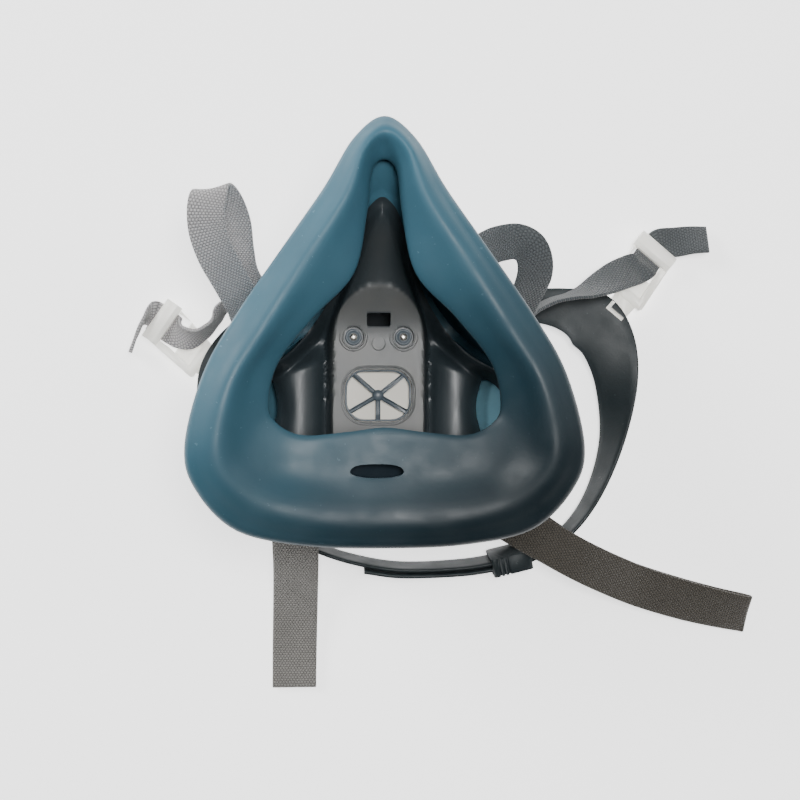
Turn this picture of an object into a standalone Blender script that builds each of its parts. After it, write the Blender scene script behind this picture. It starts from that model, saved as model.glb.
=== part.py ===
"""Half-mask respirator lying on its front, with the face opening up.

Frame: X runs across the face, Y from chin to nose, Z from the table to the wearer.
The origin is on the table, under the middle of the exhalation window.
Sizes and places below are in millimetres, and the meshes are made in metres.
"""
import math

import bmesh
import bpy
import numpy as np
from mathutils import Matrix, Vector

MM = 0.001
CLEARANCE = 0.3                  # between pieces that touch or fit together

# The face seal. Places are laid out for the drawn size and stretched to this one.
SEAL_WIDTH = 125.2
SEAL_LENGTH = 136.5
DRAWN_WIDTH = 125.2
DRAWN_LENGTH = 136.5
SEAL_WALL = 2.1
LIP_WIDTH = 4.2
CHIN_SLOT = (17.0, 5.0)
CHIN_SLOT_X = -2.6
CHIN_SLOT_Y = -24.2

# Half contours of the seal from nose to chin: x, y, z
RIM = [(0, 88, 73), (10, 80.6, 74.5), (19.3, 65, 76), (31.4, 47, 78), (47, 24.1, 80),
       (56.9, 6.6, 81), (62.6, -15.9, 81), (59, -29.8, 79), (46.4, -42.6, 76),
       (25, -47.5, 74.5), (0, -48.5, 74)]
RIDGE = [(0, 82.4, 81), (6.9, 76.6, 83), (12.4, 61.2, 85), (24.5, 42, 86.5), (38.3, 19.5, 88),
         (47.5, 3.5, 88.5), (51.5, -15, 88), (48.3, -25.5, 86), (37.5, -33.5, 83),
         (20, -37.3, 81), (0, -38, 80.5)]
SLOPE = [(0, 78.8, 77.5), (4.9, 74.4, 78.4), (8.2, 60, 80), (16.8, 40.4, 81.5), (30.6, 21.8, 82.5),
         (40.8, 6.4, 83), (44.2, -9.6, 82.5), (41.2, -18, 80.5), (32, -24, 78),
         (16.5, -25.4, 77), (0, -25, 77)]
MOUTH = [(0, 75, 72.5), (3.9, 71.3, 72.5), (5.5, 58, 74), (10, 38.5, 76), (22.8, 24.3, 77.5),
         (34, 9.6, 78), (36.9, -3.5, 77.5), (34, -9.6, 77), (26, -13.2, 76.5),
         (12, -12.3, 76.5), (0, -11, 76.5)]
BASE = [(0, 67.5), (7.5, 62), (12.5, 50), (19, 35), (32, 19), (46.5, 8), (51.5, -7),
        (47, -23), (33, -33.5), (17, -37.5), (0, -38)]
BASE_RISE = [(-38, 25), (-33.5, 29), (-23, 38), (-7, 46), (8, 43), (14, 34), (22, 29),
             (35, 34), (50, 44), (61.5, 55), (66, 58)]
FLANK_HEIGHT = 0.5               # of the way up from base to rim
FLANK_SPREAD = 0.42              # of the way out
SHOULDER_RISE = 2.4
MOUTH_ROLL = 2.6

# The centre adapter, the hard plate inside the seal
ADAPTER_WALL = 2.4
ADAPTER_INSET = 4.5              # from the seal's base contour
PLATE_HEIGHT = [(-34, 35), (-20, 36.5), (0, 38), (25, 40), (45, 50), (58, 61.5), (63, 62)]
PLATE_HALF_WIDTH = [(-34, 16.4), (22, 15.9), (34.6, 11.5), (51, 6.5), (60, 4.5)]
GROOVE_FLOOR = 28.0
SADDLE_X = 27.0
SADDLE_HALF_WIDTH = (10.0, 8.5)   # towards the plate, towards the port
SADDLE_RISE = 9.5
WINDOW = (23.2, 18.2)
WINDOW_CORNER = 7.0
SENSOR_SLOT = (8.0, 4.4)
SENSOR_SLOT_Y = 25.6
SCREW_X = 8.5
SCREW_Y = 19.8
SCREW_SHANK = 1.4                # radii
SCREW_HEAD = 2.7
SOCKET_RADIUS = 3.7
SOCKET_DEPTH = 1.5
SCREW_END_Z = 14.0

# The front housing
HOUSING_WALL = 2.4
SNOUT_Z = 9.7
SNOUT_MOUTH = (24.0, 22.0)
BOSS_RADIUS = 4.0
RAIL_X = 15.5                    # inner face of the guide rails
RAIL_WIDTH = 3.6
RAIL_Y = (-32.0, 4.0)
GROOVE_DEPTH = 1.5
TONGUE_Z = (5.0, 6.5)

# The inhalation ports, turned about the axis that points out of the mask
PORT_CENTRE = (38.0, -4.0, 31.5)
PORT_AXIS = (0.76, 0.0, -0.65)
PORT_BORE = 9.2
PORT_TUBE = 11.2
PORT_INNER_END = 3.4
PORT_OUTER_END = 14.0
PORT_FLANGE = (8.3, 9.8)
PORT_FLANGE_RADIUS = 13.6
LUG_RADIUS = 13.4
LUG_HEIGHT = 1.8
PORT_VALVE_RADIUS = 10.6
PORT_VALVE_THICKNESS = 0.8
STEM_RADIUS = 1.0

# Exhalation valve, its seat and its cover
SEAT_Z = (34.8, 37.2)
SEAT_RIM = 1.4
SPOKE_WIDTH = 1.4
HUB_RADIUS = 2.2
VALVE_THICKNESS = 0.9
VALVE_OVERLAP = 0.8
COVER_Z = (2.0, 8.5)
COVER_WALL = 1.6
COVER_SLAT = 2.0

# The harness yoke
YOKE_THICKNESS = 2.4
YOKE_BAR = (32.0, 8.0, 18.0, 4.0)        # half length, y from, y to, height
TONGUE_PLATE = (9.0, -8.0, 1.6)          # half width, y from, height
YOKE_ARM_WIDTH = 9.0
YOKE_PEG = (12.0, 13.0, 1.6)             # x, y, radius

# Webbing
STRAP_THICKNESS = 1.2
UPPER_STRAP_WIDTH = 12.2
BUCKLED_WIDTH = 11.0
LOWER_STRAP_WIDTH = 15.8
ROD = 1.2                        # half thickness of a bar that a strap wraps
SIDE_BAR = 2.2

# The head cradle and its buckles
CRADLE_THICKNESS = 1.4
CRADLE_WIDTH = 10.0
TIP_WIDTH = 22.0
CRADLE_Z = 7.0
BUCKLE_THICKNESS = 2.6
BUCKLE_Z = 4.5                   # middle of the buckle's plate
BUCKLE_START = 6.7               # from the pin to the plate
BUCKLE_LENGTH = 22.5
BUCKLE_LEAN = 3.4
CRADLE_PEGS = [(13.5, -61.6), (27.5, -61.4)]
PEG_RADIUS = 1.6
PIN_RADIUS = 1.5
PIN_PLAY = 1.0
RIGHT_PIN = (88.0, 30.0)
LEFT_PIN = (-55.5, 8.0)
RIGHT_OUTWARD = (0.648, 0.762)
LEFT_OUTWARD = (-0.817, 0.577)


# ---------------------------------------------------------------- numbers

def stretch(point):
    """A drawn place moved to where the seal's real width and length put it."""
    across = SEAL_WIDTH / DRAWN_WIDTH
    along = SEAL_LENGTH / DRAWN_LENGTH
    return (point[0] * across, point[1] * along) + tuple(point[2:])


def ease(low, high, value):
    """0 below low, 1 above high, smooth between."""
    share = min(1.0, max(0.0, (value - low) / (high - low)))
    return share * share * (3.0 - 2.0 * share)


def along_table(table, place):
    """Straight interpolation in a table of (place, value)."""
    return float(np.interp(place, [row[0] for row in table], [row[1] for row in table]))


def smooth_through(points, per_span, closed=False):
    """A smooth curve through points of any dimension, per_span samples a span."""
    points = [np.array(point, float) for point in points]
    if closed:
        points = [points[-1]] + points + points[:2]
    else:
        points = [2 * points[0] - points[1]] + points + [2 * points[-1] - points[-2]]
    curve = []
    for first, second, third, fourth in zip(points, points[1:], points[2:], points[3:]):
        for step in range(per_span):
            t = step / per_span
            bend = (2 * first - 5 * second + 4 * third - fourth) * t * t
            twist = (3 * second - first - 3 * third + fourth) * t ** 3
            curve.append(0.5 * (2 * second + (third - first) * t + bend + twist))
    if not closed:
        curve.append(points[-2])
    return curve


def mirrored(half):
    """A closed list of points from the half that runs down the +X side."""
    back = [(-point[0],) + tuple(point[1:]) for point in half[-2:0:-1]]
    return [tuple(point) for point in half] + back


def base_height(drawn_y):
    """Height of the seal's clamped lip, at its underside."""
    return along_table(BASE_RISE, drawn_y)


# ---------------------------------------------------------------- Blender helpers

def finish(name, colour, roughness, metallic=0.0):
    material = bpy.data.materials.new(name)
    material.use_nodes = True
    shader = material.node_tree.nodes["Principled BSDF"]
    shader.inputs["Base Color"].default_value = (*colour, 1.0)
    shader.inputs["Roughness"].default_value = roughness
    shader.inputs["Metallic"].default_value = metallic
    return material


def solid(name, points, faces, material):
    """One closed mesh from points in millimetres."""
    mesh = bpy.data.meshes.new(name)
    mesh.from_pydata([Vector(point) * MM for point in points], [], faces)
    work = bmesh.new()
    work.from_mesh(mesh)
    bmesh.ops.recalc_face_normals(work, faces=work.faces)
    work.to_mesh(mesh)
    work.free()
    piece = bpy.data.objects.new(name, mesh)
    piece.data.materials.append(material)
    bpy.context.scene.collection.objects.link(piece)
    return piece


def settle(piece):
    """Turn a piece's modifiers into its mesh."""
    bpy.context.view_layer.update()
    graph = bpy.context.evaluated_depsgraph_get()
    mesh = bpy.data.meshes.new_from_object(piece.evaluated_get(graph))
    piece.modifiers.clear()
    piece.data = mesh


def combine(piece, tool, operation, solver):
    modifier = piece.modifiers.new(operation.lower(), "BOOLEAN")
    modifier.operation = operation
    modifier.solver = solver
    modifier.object = tool
    settle(piece)
    bpy.data.objects.remove(tool)


SEALED = "MANIFOLD"              # the solver for cuts that meet many facets


def cut(piece, *tools, solver="EXACT"):
    for tool in tools:
        combine(piece, tool, "DIFFERENCE", solver)


def join(piece, *tools, solver="EXACT"):
    for tool in tools:
        combine(piece, tool, "UNION", solver)


def smooth(piece, degrees=35.0):
    piece.data.shade_smooth()
    piece.data.set_sharp_from_angle(angle=math.radians(degrees))


def place(piece, origin, x_axis=(1, 0, 0), z_axis=(0, 0, 1)):
    """Stand a piece drawn at the origin on a place, with the given local axes."""
    z_axis = Vector(z_axis).normalized()
    y_axis = z_axis.cross(Vector(x_axis)).normalized()
    x_axis = y_axis.cross(z_axis)
    turn = Matrix((x_axis, y_axis, z_axis)).transposed().to_4x4()
    piece.matrix_world = Matrix.Translation(Vector(origin) * MM) @ turn
    return piece


def prism(name, outline, low, high, material):
    """An outline in XY raised from low to high."""
    count = len(outline)
    points = [(x, y, z) for z in (low, high) for x, y in outline]
    sides = [(i, (i + 1) % count, count + (i + 1) % count, count + i) for i in range(count)]
    caps = [tuple(reversed(range(count))), tuple(range(count, 2 * count))]
    return solid(name, points, sides + caps, material)


def box(name, lowest, highest, material):
    outline = [(lowest[0], lowest[1]), (highest[0], lowest[1]),
               (highest[0], highest[1]), (lowest[0], highest[1])]
    return prism(name, outline, lowest[2], highest[2], material)


def rounded(width, height, radius, steps=5):
    """Outline of a rectangle with round corners about the origin."""
    outline = []
    for corner in range(4):
        middle_x = (width / 2 - radius) * (1 if corner in (0, 3) else -1)
        middle_y = (height / 2 - radius) * (1 if corner < 2 else -1)
        for step in range(steps + 1):
            angle = math.pi / 2 * (corner + step / steps)
            outline.append((middle_x + radius * math.cos(angle),
                            middle_y + radius * math.sin(angle)))
    return outline


def turned(name, profile, material, segments=32):
    """A solid of revolution about Z; a profile (radius, z) is closed by its last point."""
    points = []
    rings = []
    for radius, height in profile:
        if radius < 1e-6:
            rings.append([len(points)] * segments)
            points.append((0, 0, height))
            continue
        rings.append(list(range(len(points), len(points) + segments)))
        for step in range(segments):
            angle = 2 * math.pi * step / segments
            points.append((radius * math.cos(angle), radius * math.sin(angle), height))
    faces = []
    for ring, following in zip(rings, rings[1:] + rings[:1]):
        for step in range(segments):
            after = (step + 1) % segments
            corners = [ring[step], ring[after], following[after], following[step]]
            face = tuple(dict.fromkeys(corners))
            if len(face) > 2:
                faces.append(face)
    return solid(name, points, faces, material)


def rod(name, radius, low, high, material, segments=24):
    return turned(name, [(0, low), (radius, low), (radius, high), (0, high)], material, segments)


def ribbon(name, stations, thickness, material, per_span=3):
    """A flat band along stations of (place, direction across, width)."""
    rows = [tuple(where) + tuple(across) + (width,) for where, across, width in stations]
    curve = smooth_through(rows, per_span)
    points = []
    for index, row in enumerate(curve):
        ahead = curve[min(index + 1, len(curve) - 1)][:3]
        behind = curve[max(index - 1, 0)][:3]
        along = Vector(ahead - behind).normalized()
        across = Vector(row[3:6])
        across = (across - along * across.dot(along)).normalized()
        normal = along.cross(across)
        middle = Vector(row[:3])
        for side, face in ((-1, -1), (1, -1), (1, 1), (-1, 1)):
            points.append(middle + across * (side * row[6] / 2) + normal * (face * thickness / 2))
    faces = [(3, 2, 1, 0), tuple(range(len(points) - 4, len(points)))]
    for ring in range(0, len(points) - 4, 4):
        for corner in range(4):
            after = (corner + 1) % 4
            faces.append((ring + corner, ring + after, ring + 4 + after, ring + 4 + corner))
    return solid(name, points, faces, material)


# ---------------------------------------------------------------- the mask body

def base_contour():
    """The seal's clamped edge as a dense closed line of (x, y)."""
    return smooth_through([stretch(point) for point in mirrored(BASE)], 6, closed=True)


def inset(contour, distance):
    """A closed contour moved inwards."""
    moved = []
    for index, point in enumerate(contour):
        along = contour[(index + 1) % len(contour)] - contour[index - 1]
        inward = np.array([along[1], -along[0]]) / np.hypot(*along)
        moved.append(point + inward * distance)
    return moved


def half_width(contour, y):
    """How far a contour reaches to +X at a height y."""
    right = sorted((point[1], point[0]) for point in contour if point[0] >= 0)
    return along_table(right, y)


def edge_distance(contour, x, y):
    """Distance from a place to the nearest part of a closed contour."""
    start = np.array(contour)
    span = np.roll(start, -1, axis=0) - start
    away = np.array([x, y]) - start
    share = np.clip((away * span).sum(axis=1) / (span * span).sum(axis=1), 0, 1)
    return float(np.sqrt((((away - span * share[:, None]) ** 2).sum(axis=1)).min()))


def columns_across(reach, shoulder):
    """Places across a shell from its middle to its edge, close together at a shoulder."""
    brim = max(reach - 5.0, 0.6 * reach)
    outer = min(shoulder + 2.2, 0.8 * brim)
    inner = min(shoulder - 0.4, 0.85 * outer)
    half = [inner * 0.55, inner, outer]
    half += [outer + (brim - outer) * step / 4 for step in range(1, 5)]
    half += [(brim + reach) / 2, reach]
    return [-x for x in reversed(half)] + [0.0] + half


def field_shell(name, contour, height, shoulder, wall, material, rows=18):
    """A shell inside a contour, whose top follows height(x, y, edge) in drawn places."""
    low = min(point[1] for point in contour)
    high = max(point[1] for point in contour)
    grid = []
    for row in range(rows + 1):
        share = 0.5 - 0.5 * math.cos(math.pi * (0.06 + 0.88 * row / rows))
        y = low + (high - low) * share
        drawn_y = y * DRAWN_LENGTH / SEAL_LENGTH
        for x in columns_across(half_width(contour, y), shoulder(drawn_y)):
            edge = edge_distance(contour, x, y)
            drawn_x = x * DRAWN_WIDTH / SEAL_WIDTH
            grid.append((x, y, height(drawn_x, drawn_y, edge)))
    below = [(x, y, z - wall) for x, y, z in grid]
    wide = len(grid) // (rows + 1)
    columns = wide - 1
    count = len(grid)
    faces = []
    for row in range(rows):
        for column in range(columns):
            corner = row * wide + column
            faces.append((corner, corner + 1, corner + wide + 1, corner + wide))
            faces.append((count + corner + wide, count + corner + wide + 1,
                          count + corner + 1, count + corner))
    border = list(range(columns)) + [row * wide + columns for row in range(rows)]
    border += [rows * wide + column for column in range(columns, 0, -1)]
    border += [row * wide for row in range(rows, 0, -1)]
    for first, second in zip(border, border[1:] + border[:1]):
        faces.append((first, count + first, count + second, second))
    return solid(name, grid + below, faces, material)


def plate_half(y):
    return along_table(PLATE_HALF_WIDTH, y)


def snout_half(y):
    """Where the housing's port flat leaves the snout's flat underside."""
    seat = Vector(PORT_CENTRE) + Vector(PORT_AXIS) * PORT_FLANGE[0]
    return seat.x + (seat.z - SNOUT_Z) * PORT_AXIS[2] / PORT_AXIS[0]


def adapter_top(x, y, edge):
    """Height of the adapter's face side: plate, grooves, saddles and port flats."""
    x = abs(x)
    rim = base_height(y) + 1.4 * SEAL_WALL + CLEARANCE + ADAPTER_WALL
    plate = along_table(PLATE_HEIGHT, y)
    half = plate_half(y)
    half_saddle = SADDLE_HALF_WIDTH[1 if x > SADDLE_X else 0]
    bulge = max(0.0, 1.0 - ((x - SADDLE_X) / half_saddle) ** 2) ** 0.5
    saddle = GROOVE_FLOOR + SADDLE_RISE * bulge * (1.0 - ease(12.0, 20.0, y + 0.3 * (x - 17)))
    port = PORT_CENTRE[2] - (x - PORT_CENTRE[0]) * PORT_AXIS[0] / PORT_AXIS[2]
    side = max(saddle, port) if x > SADDLE_X else saddle
    side += (rim - side) * ease(14.0, 30.0, y)
    inner = plate + (side - plate) * ease(half - 0.4, half + 2.2, x)
    return rim + (inner - rim) * ease(0.0, 5.0, edge)


def housing_top(x, y, edge):
    """Height of the housing's inner side; its outer side is a wall lower."""
    x = abs(x)
    rim = base_height(y) - 3.5 * CLEARANCE
    outward = Vector(PORT_AXIS)
    seat = Vector(PORT_CENTRE) + outward * PORT_FLANGE[0]
    port = seat.z + HOUSING_WALL - (x - seat.x) * PORT_AXIS[0] / PORT_AXIS[2] + 0.4
    inner = max(SNOUT_Z + HOUSING_WALL, port)
    inner += (rim - inner) * ease(19.0, 29.0, y)
    return rim + (inner - rim) * ease(0.0, 4.0, edge)


def face_seal(material):
    """The soft cup: clamped lip, flank, rolled rim, inner slope and mouth edge."""
    rim = [stretch(point) for point in mirrored(RIM)]
    ridge = [stretch(point) for point in mirrored(RIDGE)]
    slope = [stretch(point) for point in mirrored(SLOPE)]
    mouth = [stretch(point) for point in mirrored(MOUTH)]
    base = [stretch(point) + (base_height(point[1]),) for point in mirrored(BASE)]
    across = []
    for foot, out, top, middle, inner in zip(base, rim, ridge, slope, mouth):
        foot, out, top = np.array(foot, float), np.array(out, float), np.array(top, float)
        middle, inner = np.array(middle, float), np.array(inner, float)
        flank = foot + (out - foot) * np.array([FLANK_SPREAD, FLANK_SPREAD, FLANK_HEIGHT])
        shoulder = out * 0.62 + top * 0.38 + np.array([0, 0, SHOULDER_RISE])
        outward = (middle - inner) * np.array([1, 1, 0])
        roll = inner + outward / np.linalg.norm(outward) * 1.2 - np.array([0, 0, MOUTH_ROLL])
        across.append(smooth_through([foot, flank, out, shoulder, top, middle, inner, roll], 2))
    lines = [smooth_through(line, 2, closed=True) for line in zip(*across)]
    lip = inset([point[:2] for point in lines[0]], LIP_WIDTH)
    drawn = DRAWN_LENGTH / SEAL_LENGTH
    lines.insert(0, [np.array([*edge, base_height(edge[1] * drawn)]) for edge in lip])
    around = len(lines[0])
    points = [point for line in lines for point in line]
    faces = []
    for line in range(len(lines) - 1):
        for step in range(around):
            after = (step + 1) % around
            faces.append((line * around + step, (line + 1) * around + step,
                          (line + 1) * around + after, line * around + after))
    mesh = bpy.data.meshes.new("face_seal")
    mesh.from_pydata([Vector(point) * MM for point in points], [], faces)
    piece = bpy.data.objects.new("face_seal", mesh)
    piece.data.materials.append(material)
    bpy.context.scene.collection.objects.link(piece)
    wall = piece.modifiers.new("wall", "SOLIDIFY")
    wall.thickness = SEAL_WALL * MM
    wall.offset = -1.0
    settle(piece)
    half, tall = CHIN_SLOT[0] / 2, CHIN_SLOT[1]
    arch = [(half * math.cos(math.pi * step / 10), tall * math.sin(math.pi * step / 10))
            for step in range(11)]
    slot_y = stretch((0, CHIN_SLOT_Y))[1] - tall / 2
    slot = prism("slot", [(CHIN_SLOT_X + x, slot_y + y) for x, y in arch], 62.0, 90.0, material)
    cut(piece, slot)
    smooth(piece, 60)
    return piece


def port_origin(side):
    x, y, z = stretch(PORT_CENTRE)
    return (side * x, y, z)


def port_axis(side):
    return (side * PORT_AXIS[0], PORT_AXIS[1], PORT_AXIS[2])


def stand_in_port(piece, side):
    """Local +Z points out of the port and local Y along the mask."""
    outward = Vector(port_axis(side))
    return place(piece, port_origin(side), Vector((0, 1, 0)).cross(outward), outward)


def screw_places():
    _, y = stretch((0, SCREW_Y))
    return [("left", -SCREW_X, y), ("right", SCREW_X, y)]


def center_adapter(material):
    """The hard inner plate, with window, screw sockets, sensor slot and port holes."""
    contour = inset(base_contour(), ADAPTER_INSET)
    piece = field_shell("center_adapter", contour, adapter_top, plate_half, ADAPTER_WALL,
                        material)
    cut(piece, prism("window", rounded(*WINDOW, WINDOW_CORNER), 20, 60, material), solver=SEALED)
    width, height = SENSOR_SLOT
    slot_y = stretch((0, SENSOR_SLOT_Y))[1]
    cut(piece, box("slot", (-width / 2, slot_y - height / 2, 20),
                   (width / 2, slot_y + height / 2, 60), material), solver=SEALED)
    for _, x, y in screw_places():
        top = along_table(PLATE_HEIGHT, SCREW_Y)
        boss = rod("boss", SOCKET_RADIUS + 1.2, top - ADAPTER_WALL - 1.6, top - 0.8, material, 20)
        join(piece, place(boss, (x, y, 0)), solver=SEALED)
        socket = rod("socket", SOCKET_RADIUS, top - SOCKET_DEPTH, top + 5, material, 20)
        bore = rod("bore", SCREW_SHANK + CLEARANCE, 20, top + 5, material, 16)
        cut(piece, place(socket, (x, y, 0)), place(bore, (x, y, 0)), solver=SEALED)
    for side in (-1, 1):
        hole = rod("hole", PORT_TUBE + CLEARANCE, -2.5, 4, material, 28)
        cut(piece, stand_in_port(hole, side), solver=SEALED)
    smooth(piece)
    return piece


def front_housing(material):
    """The outer shell: flange, port flats, snout with rails for the cover, screw bosses."""
    piece = field_shell("front_housing", base_contour(), housing_top, snout_half, HOUSING_WALL,
                        material)
    snout_y = (RAIL_Y[0] + RAIL_Y[1]) / 2
    mouth = prism("mouth", rounded(*SNOUT_MOUTH, 6, 3), 0, 20, material)
    cut(piece, place(mouth, (0, snout_y, 0)), solver=SEALED)
    for side in (-1, 1):
        hole = rod("hole", PORT_TUBE + CLEARANCE, 2, 14, material, 28)
        cut(piece, stand_in_port(hole, side), solver=SEALED)
        inner, outer = RAIL_X, RAIL_X + RAIL_WIDTH
        rail = box("rail", (min(side * inner, side * outer), RAIL_Y[0], 0),
                   (max(side * inner, side * outer), RAIL_Y[1], SNOUT_Z + 1.2), material)
        depth = inner + GROOVE_DEPTH
        groove = box("groove", (min(side * (inner - 1), side * depth), RAIL_Y[0] - 1,
                                TONGUE_Z[0] - CLEARANCE),
                     (max(side * (inner - 1), side * depth), RAIL_Y[1] - 2,
                      TONGUE_Z[1] + CLEARANCE), material)
        cut(rail, groove, solver=SEALED)
        join(piece, rail, solver=SEALED)
        hole = rod("hole", YOKE_PEG[2] + CLEARANCE, 0, 30, material, 16)
        cut(piece, place(hole, (side * YOKE_PEG[0], YOKE_PEG[1], 0)), solver=SEALED)
    boss_top = along_table(PLATE_HEIGHT, SCREW_Y) - ADAPTER_WALL - 1.6 - CLEARANCE
    for _, x, y in screw_places():
        boss = rod("boss", BOSS_RADIUS, SNOUT_Z + 1.0, boss_top, material, 20)
        join(piece, place(boss, (x, y, 0)), solver=SEALED)
        bore = rod("bore", SCREW_SHANK + CLEARANCE, SCREW_END_Z - 1, boss_top + 2, material, 16)
        cut(piece, place(bore, (x, y, 0)), solver=SEALED)
    smooth(piece)
    return piece


def adapter_screw(name, x, y, material):
    """Pan-head screw with a recess, standing in its socket."""
    seat = along_table(PLATE_HEIGHT, SCREW_Y) - SOCKET_DEPTH + CLEARANCE
    profile = [(0, SCREW_END_Z), (SCREW_SHANK * 0.6, SCREW_END_Z), (SCREW_SHANK, SCREW_END_Z + 1),
               (SCREW_SHANK, seat), (SCREW_HEAD, seat), (SCREW_HEAD, seat + 0.9),
               (SCREW_HEAD * 0.8, seat + 1.3), (1.0, seat + 1.4), (1.0, seat + 0.5),
               (0, seat + 0.5)]
    piece = place(turned(name, profile, material, 16), (x, y, 0))
    smooth(piece)
    return piece


def exhalation_seat(material):
    """Rim and five spokes that fill the window; the valve's stem plugs in below."""
    width, height = WINDOW[0] - 2 * CLEARANCE, WINDOW[1] - 2 * CLEARANCE
    corner = WINDOW_CORNER - CLEARANCE
    low, high = SEAT_Z
    piece = prism("exhalation_seat", rounded(width, height, corner), low, high, material)
    hole = prism("hole", rounded(width - 2 * SEAT_RIM, height - 2 * SEAT_RIM, corner - SEAT_RIM),
                 low - 1, high + 1, material)
    cut(piece, hole)
    for degrees in (38, 139, 210, 270, 330):
        turn = math.radians(degrees)
        reach = (width / 2 - 0.6) / max(abs(math.cos(turn)), abs(math.sin(turn)) * width / height)
        reach = min(reach, height / 2 + 1.8)
        spoke = box("spoke", (0, -SPOKE_WIDTH / 2, low + 0.2),
                    (reach, SPOKE_WIDTH / 2, high - 0.2), material)
        join(piece, place(spoke, (0, 0, 0), (math.cos(turn), math.sin(turn), 0)))
    join(piece, rod("hub", HUB_RADIUS, low + 0.1, high - 0.1, material))
    cut(piece, rod("bore", STEM_RADIUS + CLEARANCE, low - 1, high - 0.9, material, 16))
    smooth(piece)
    return piece


def exhalation_valve(material):
    """The flap under the window, with a stem in the seat's hub."""
    top = SEAT_Z[0] - CLEARANCE
    width, height = WINDOW[0] + 2 * VALVE_OVERLAP, WINDOW[1] + 2 * VALVE_OVERLAP
    outline = rounded(width, height, WINDOW_CORNER)
    piece = prism("exhalation_valve", outline, -VALVE_THICKNESS, 0, material)
    stem = rod("stem", STEM_RADIUS, -VALVE_THICKNESS / 2, 1.6, material, 16)
    place(piece, (0, 0, top))
    join(piece, place(stem, (0, 0, top)))
    smooth(piece)
    return piece


def exhalation_cover(material):
    """Slatted cap that slides on the housing's rails towards the chin."""
    half = RAIL_X - CLEARANCE
    low, high = COVER_Z
    start, end = RAIL_Y[0], RAIL_Y[1] - 2 - CLEARANCE
    piece = box("exhalation_cover", (-half, start, low), (half, end, high), material)
    hollow = box("hollow", (-half + COVER_WALL, start + COVER_WALL, low + COVER_WALL),
                 (half - COVER_WALL, end - COVER_WALL, high + 1), material)
    cut(piece, hollow)
    for side in (-1, 1):
        reach = RAIL_X + GROOVE_DEPTH - CLEARANCE
        tongue = box("tongue", (min(side * (half - 1), side * reach), start, TONGUE_Z[0]),
                     (max(side * (half - 1), side * reach), end, TONGUE_Z[1]), material)
        join(piece, tongue)
    pitch = 2.2 * COVER_SLAT
    gaps = int((end - start - 4 * COVER_WALL) / pitch)
    for gap in range(gaps):
        y = start + 2 * COVER_WALL + pitch * gap
        cut(piece, box("gap", (-half + 4, y, low - 1), (half - 4, y + COVER_SLAT, low + 3),
                       material))
    smooth(piece)
    return piece


def bayonet(name, side, material):
    """Port tube with a spider at its inner end, a flange and three lugs outside."""
    profile = [(PORT_BORE, PORT_INNER_END), (PORT_TUBE, PORT_INNER_END),
               (PORT_TUBE, PORT_FLANGE[0]), (PORT_FLANGE_RADIUS, PORT_FLANGE[0]),
               (PORT_FLANGE_RADIUS, PORT_FLANGE[1]), (PORT_TUBE, PORT_FLANGE[1]),
               (PORT_TUBE, PORT_OUTER_END), (PORT_BORE, PORT_OUTER_END)]
    piece = turned(name, profile, material, 28)
    low, high = PORT_INNER_END, PORT_INNER_END + 1.6
    for number in range(3):
        turn = math.radians(90 + 120 * number)
        spoke = box("spoke", (0, -0.8, low + 0.1), (PORT_BORE + 0.8, 0.8, high), material)
        join(piece, place(spoke, (0, 0, 0), (math.cos(turn), math.sin(turn), 0)), solver=SEALED)
        arc = [turn + math.radians(60 + step * 10) for step in range(-2, 3)]
        outline = [(LUG_RADIUS * math.cos(a), LUG_RADIUS * math.sin(a)) for a in arc]
        inner = PORT_TUBE - 0.8
        outline += [(inner * math.cos(a), inner * math.sin(a)) for a in reversed(arc)]
        top = PORT_OUTER_END - 0.3
        join(piece, prism("lug", outline, top - LUG_HEIGHT, top, material), solver=SEALED)
    join(piece, rod("hub", HUB_RADIUS, low + 0.2, high + 0.4, material, 16), solver=SEALED)
    bore = rod("bore", STEM_RADIUS + CLEARANCE, low - 2, high + 2, material, 16)
    cut(piece, bore, solver=SEALED)
    stand_in_port(piece, side)
    smooth(piece)
    return piece


def port_gasket(name, side, material):
    """Flat ring on the port's outer end."""
    low = PORT_OUTER_END + CLEARANCE
    profile = [(PORT_BORE + 0.2, low), (PORT_TUBE - 0.2, low), (PORT_TUBE, low + 0.6),
               (PORT_TUBE - 0.4, low + 1.2), (PORT_BORE + 0.2, low + 1.2)]
    piece = stand_in_port(turned(name, profile, material, 28), side)
    smooth(piece)
    return piece


def inhalation_valve(name, side, material):
    """Disc on the face side of the spider, with a stem through its hub."""
    low = PORT_INNER_END - CLEARANCE - PORT_VALVE_THICKNESS
    high = PORT_INNER_END - CLEARANCE
    profile = [(0, low), (PORT_VALVE_RADIUS - 0.4, low), (PORT_VALVE_RADIUS, high),
               (STEM_RADIUS, high), (STEM_RADIUS, high + 3.4), (0, high + 3.4)]
    piece = stand_in_port(turned(name, profile, material, 28), side)
    smooth(piece)
    return piece


# ---------------------------------------------------------------- harness

def strap_anchor(side, level):
    """Bar that a strap wraps: its middle, the strap's direction and the bar's direction."""
    if level == "upper" and side < 0:
        return Vector(stretch((-39.6, 30.0, 15))), Vector((-0.40, 0.66, 0.64)), \
            Vector((0.86, 0.52, 0.0))
    if level == "upper":
        return Vector(stretch((36.5, 42.0, 13))), Vector((0.10, 0.60, 0.79)), \
            Vector((0.86, -0.45, 0.24))
    if side < 0:
        return Vector(stretch((-28.0, -41.0, 11.0))), Vector((0.02, -1.0, 0.0)), \
            Vector((-1.0, -0.02, 0.0))
    return Vector(stretch((36.8, -38.0, 11.0))), Vector((0.87, -0.49, 0.0)), \
        Vector((0.49, 0.87, 0.0))


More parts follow.
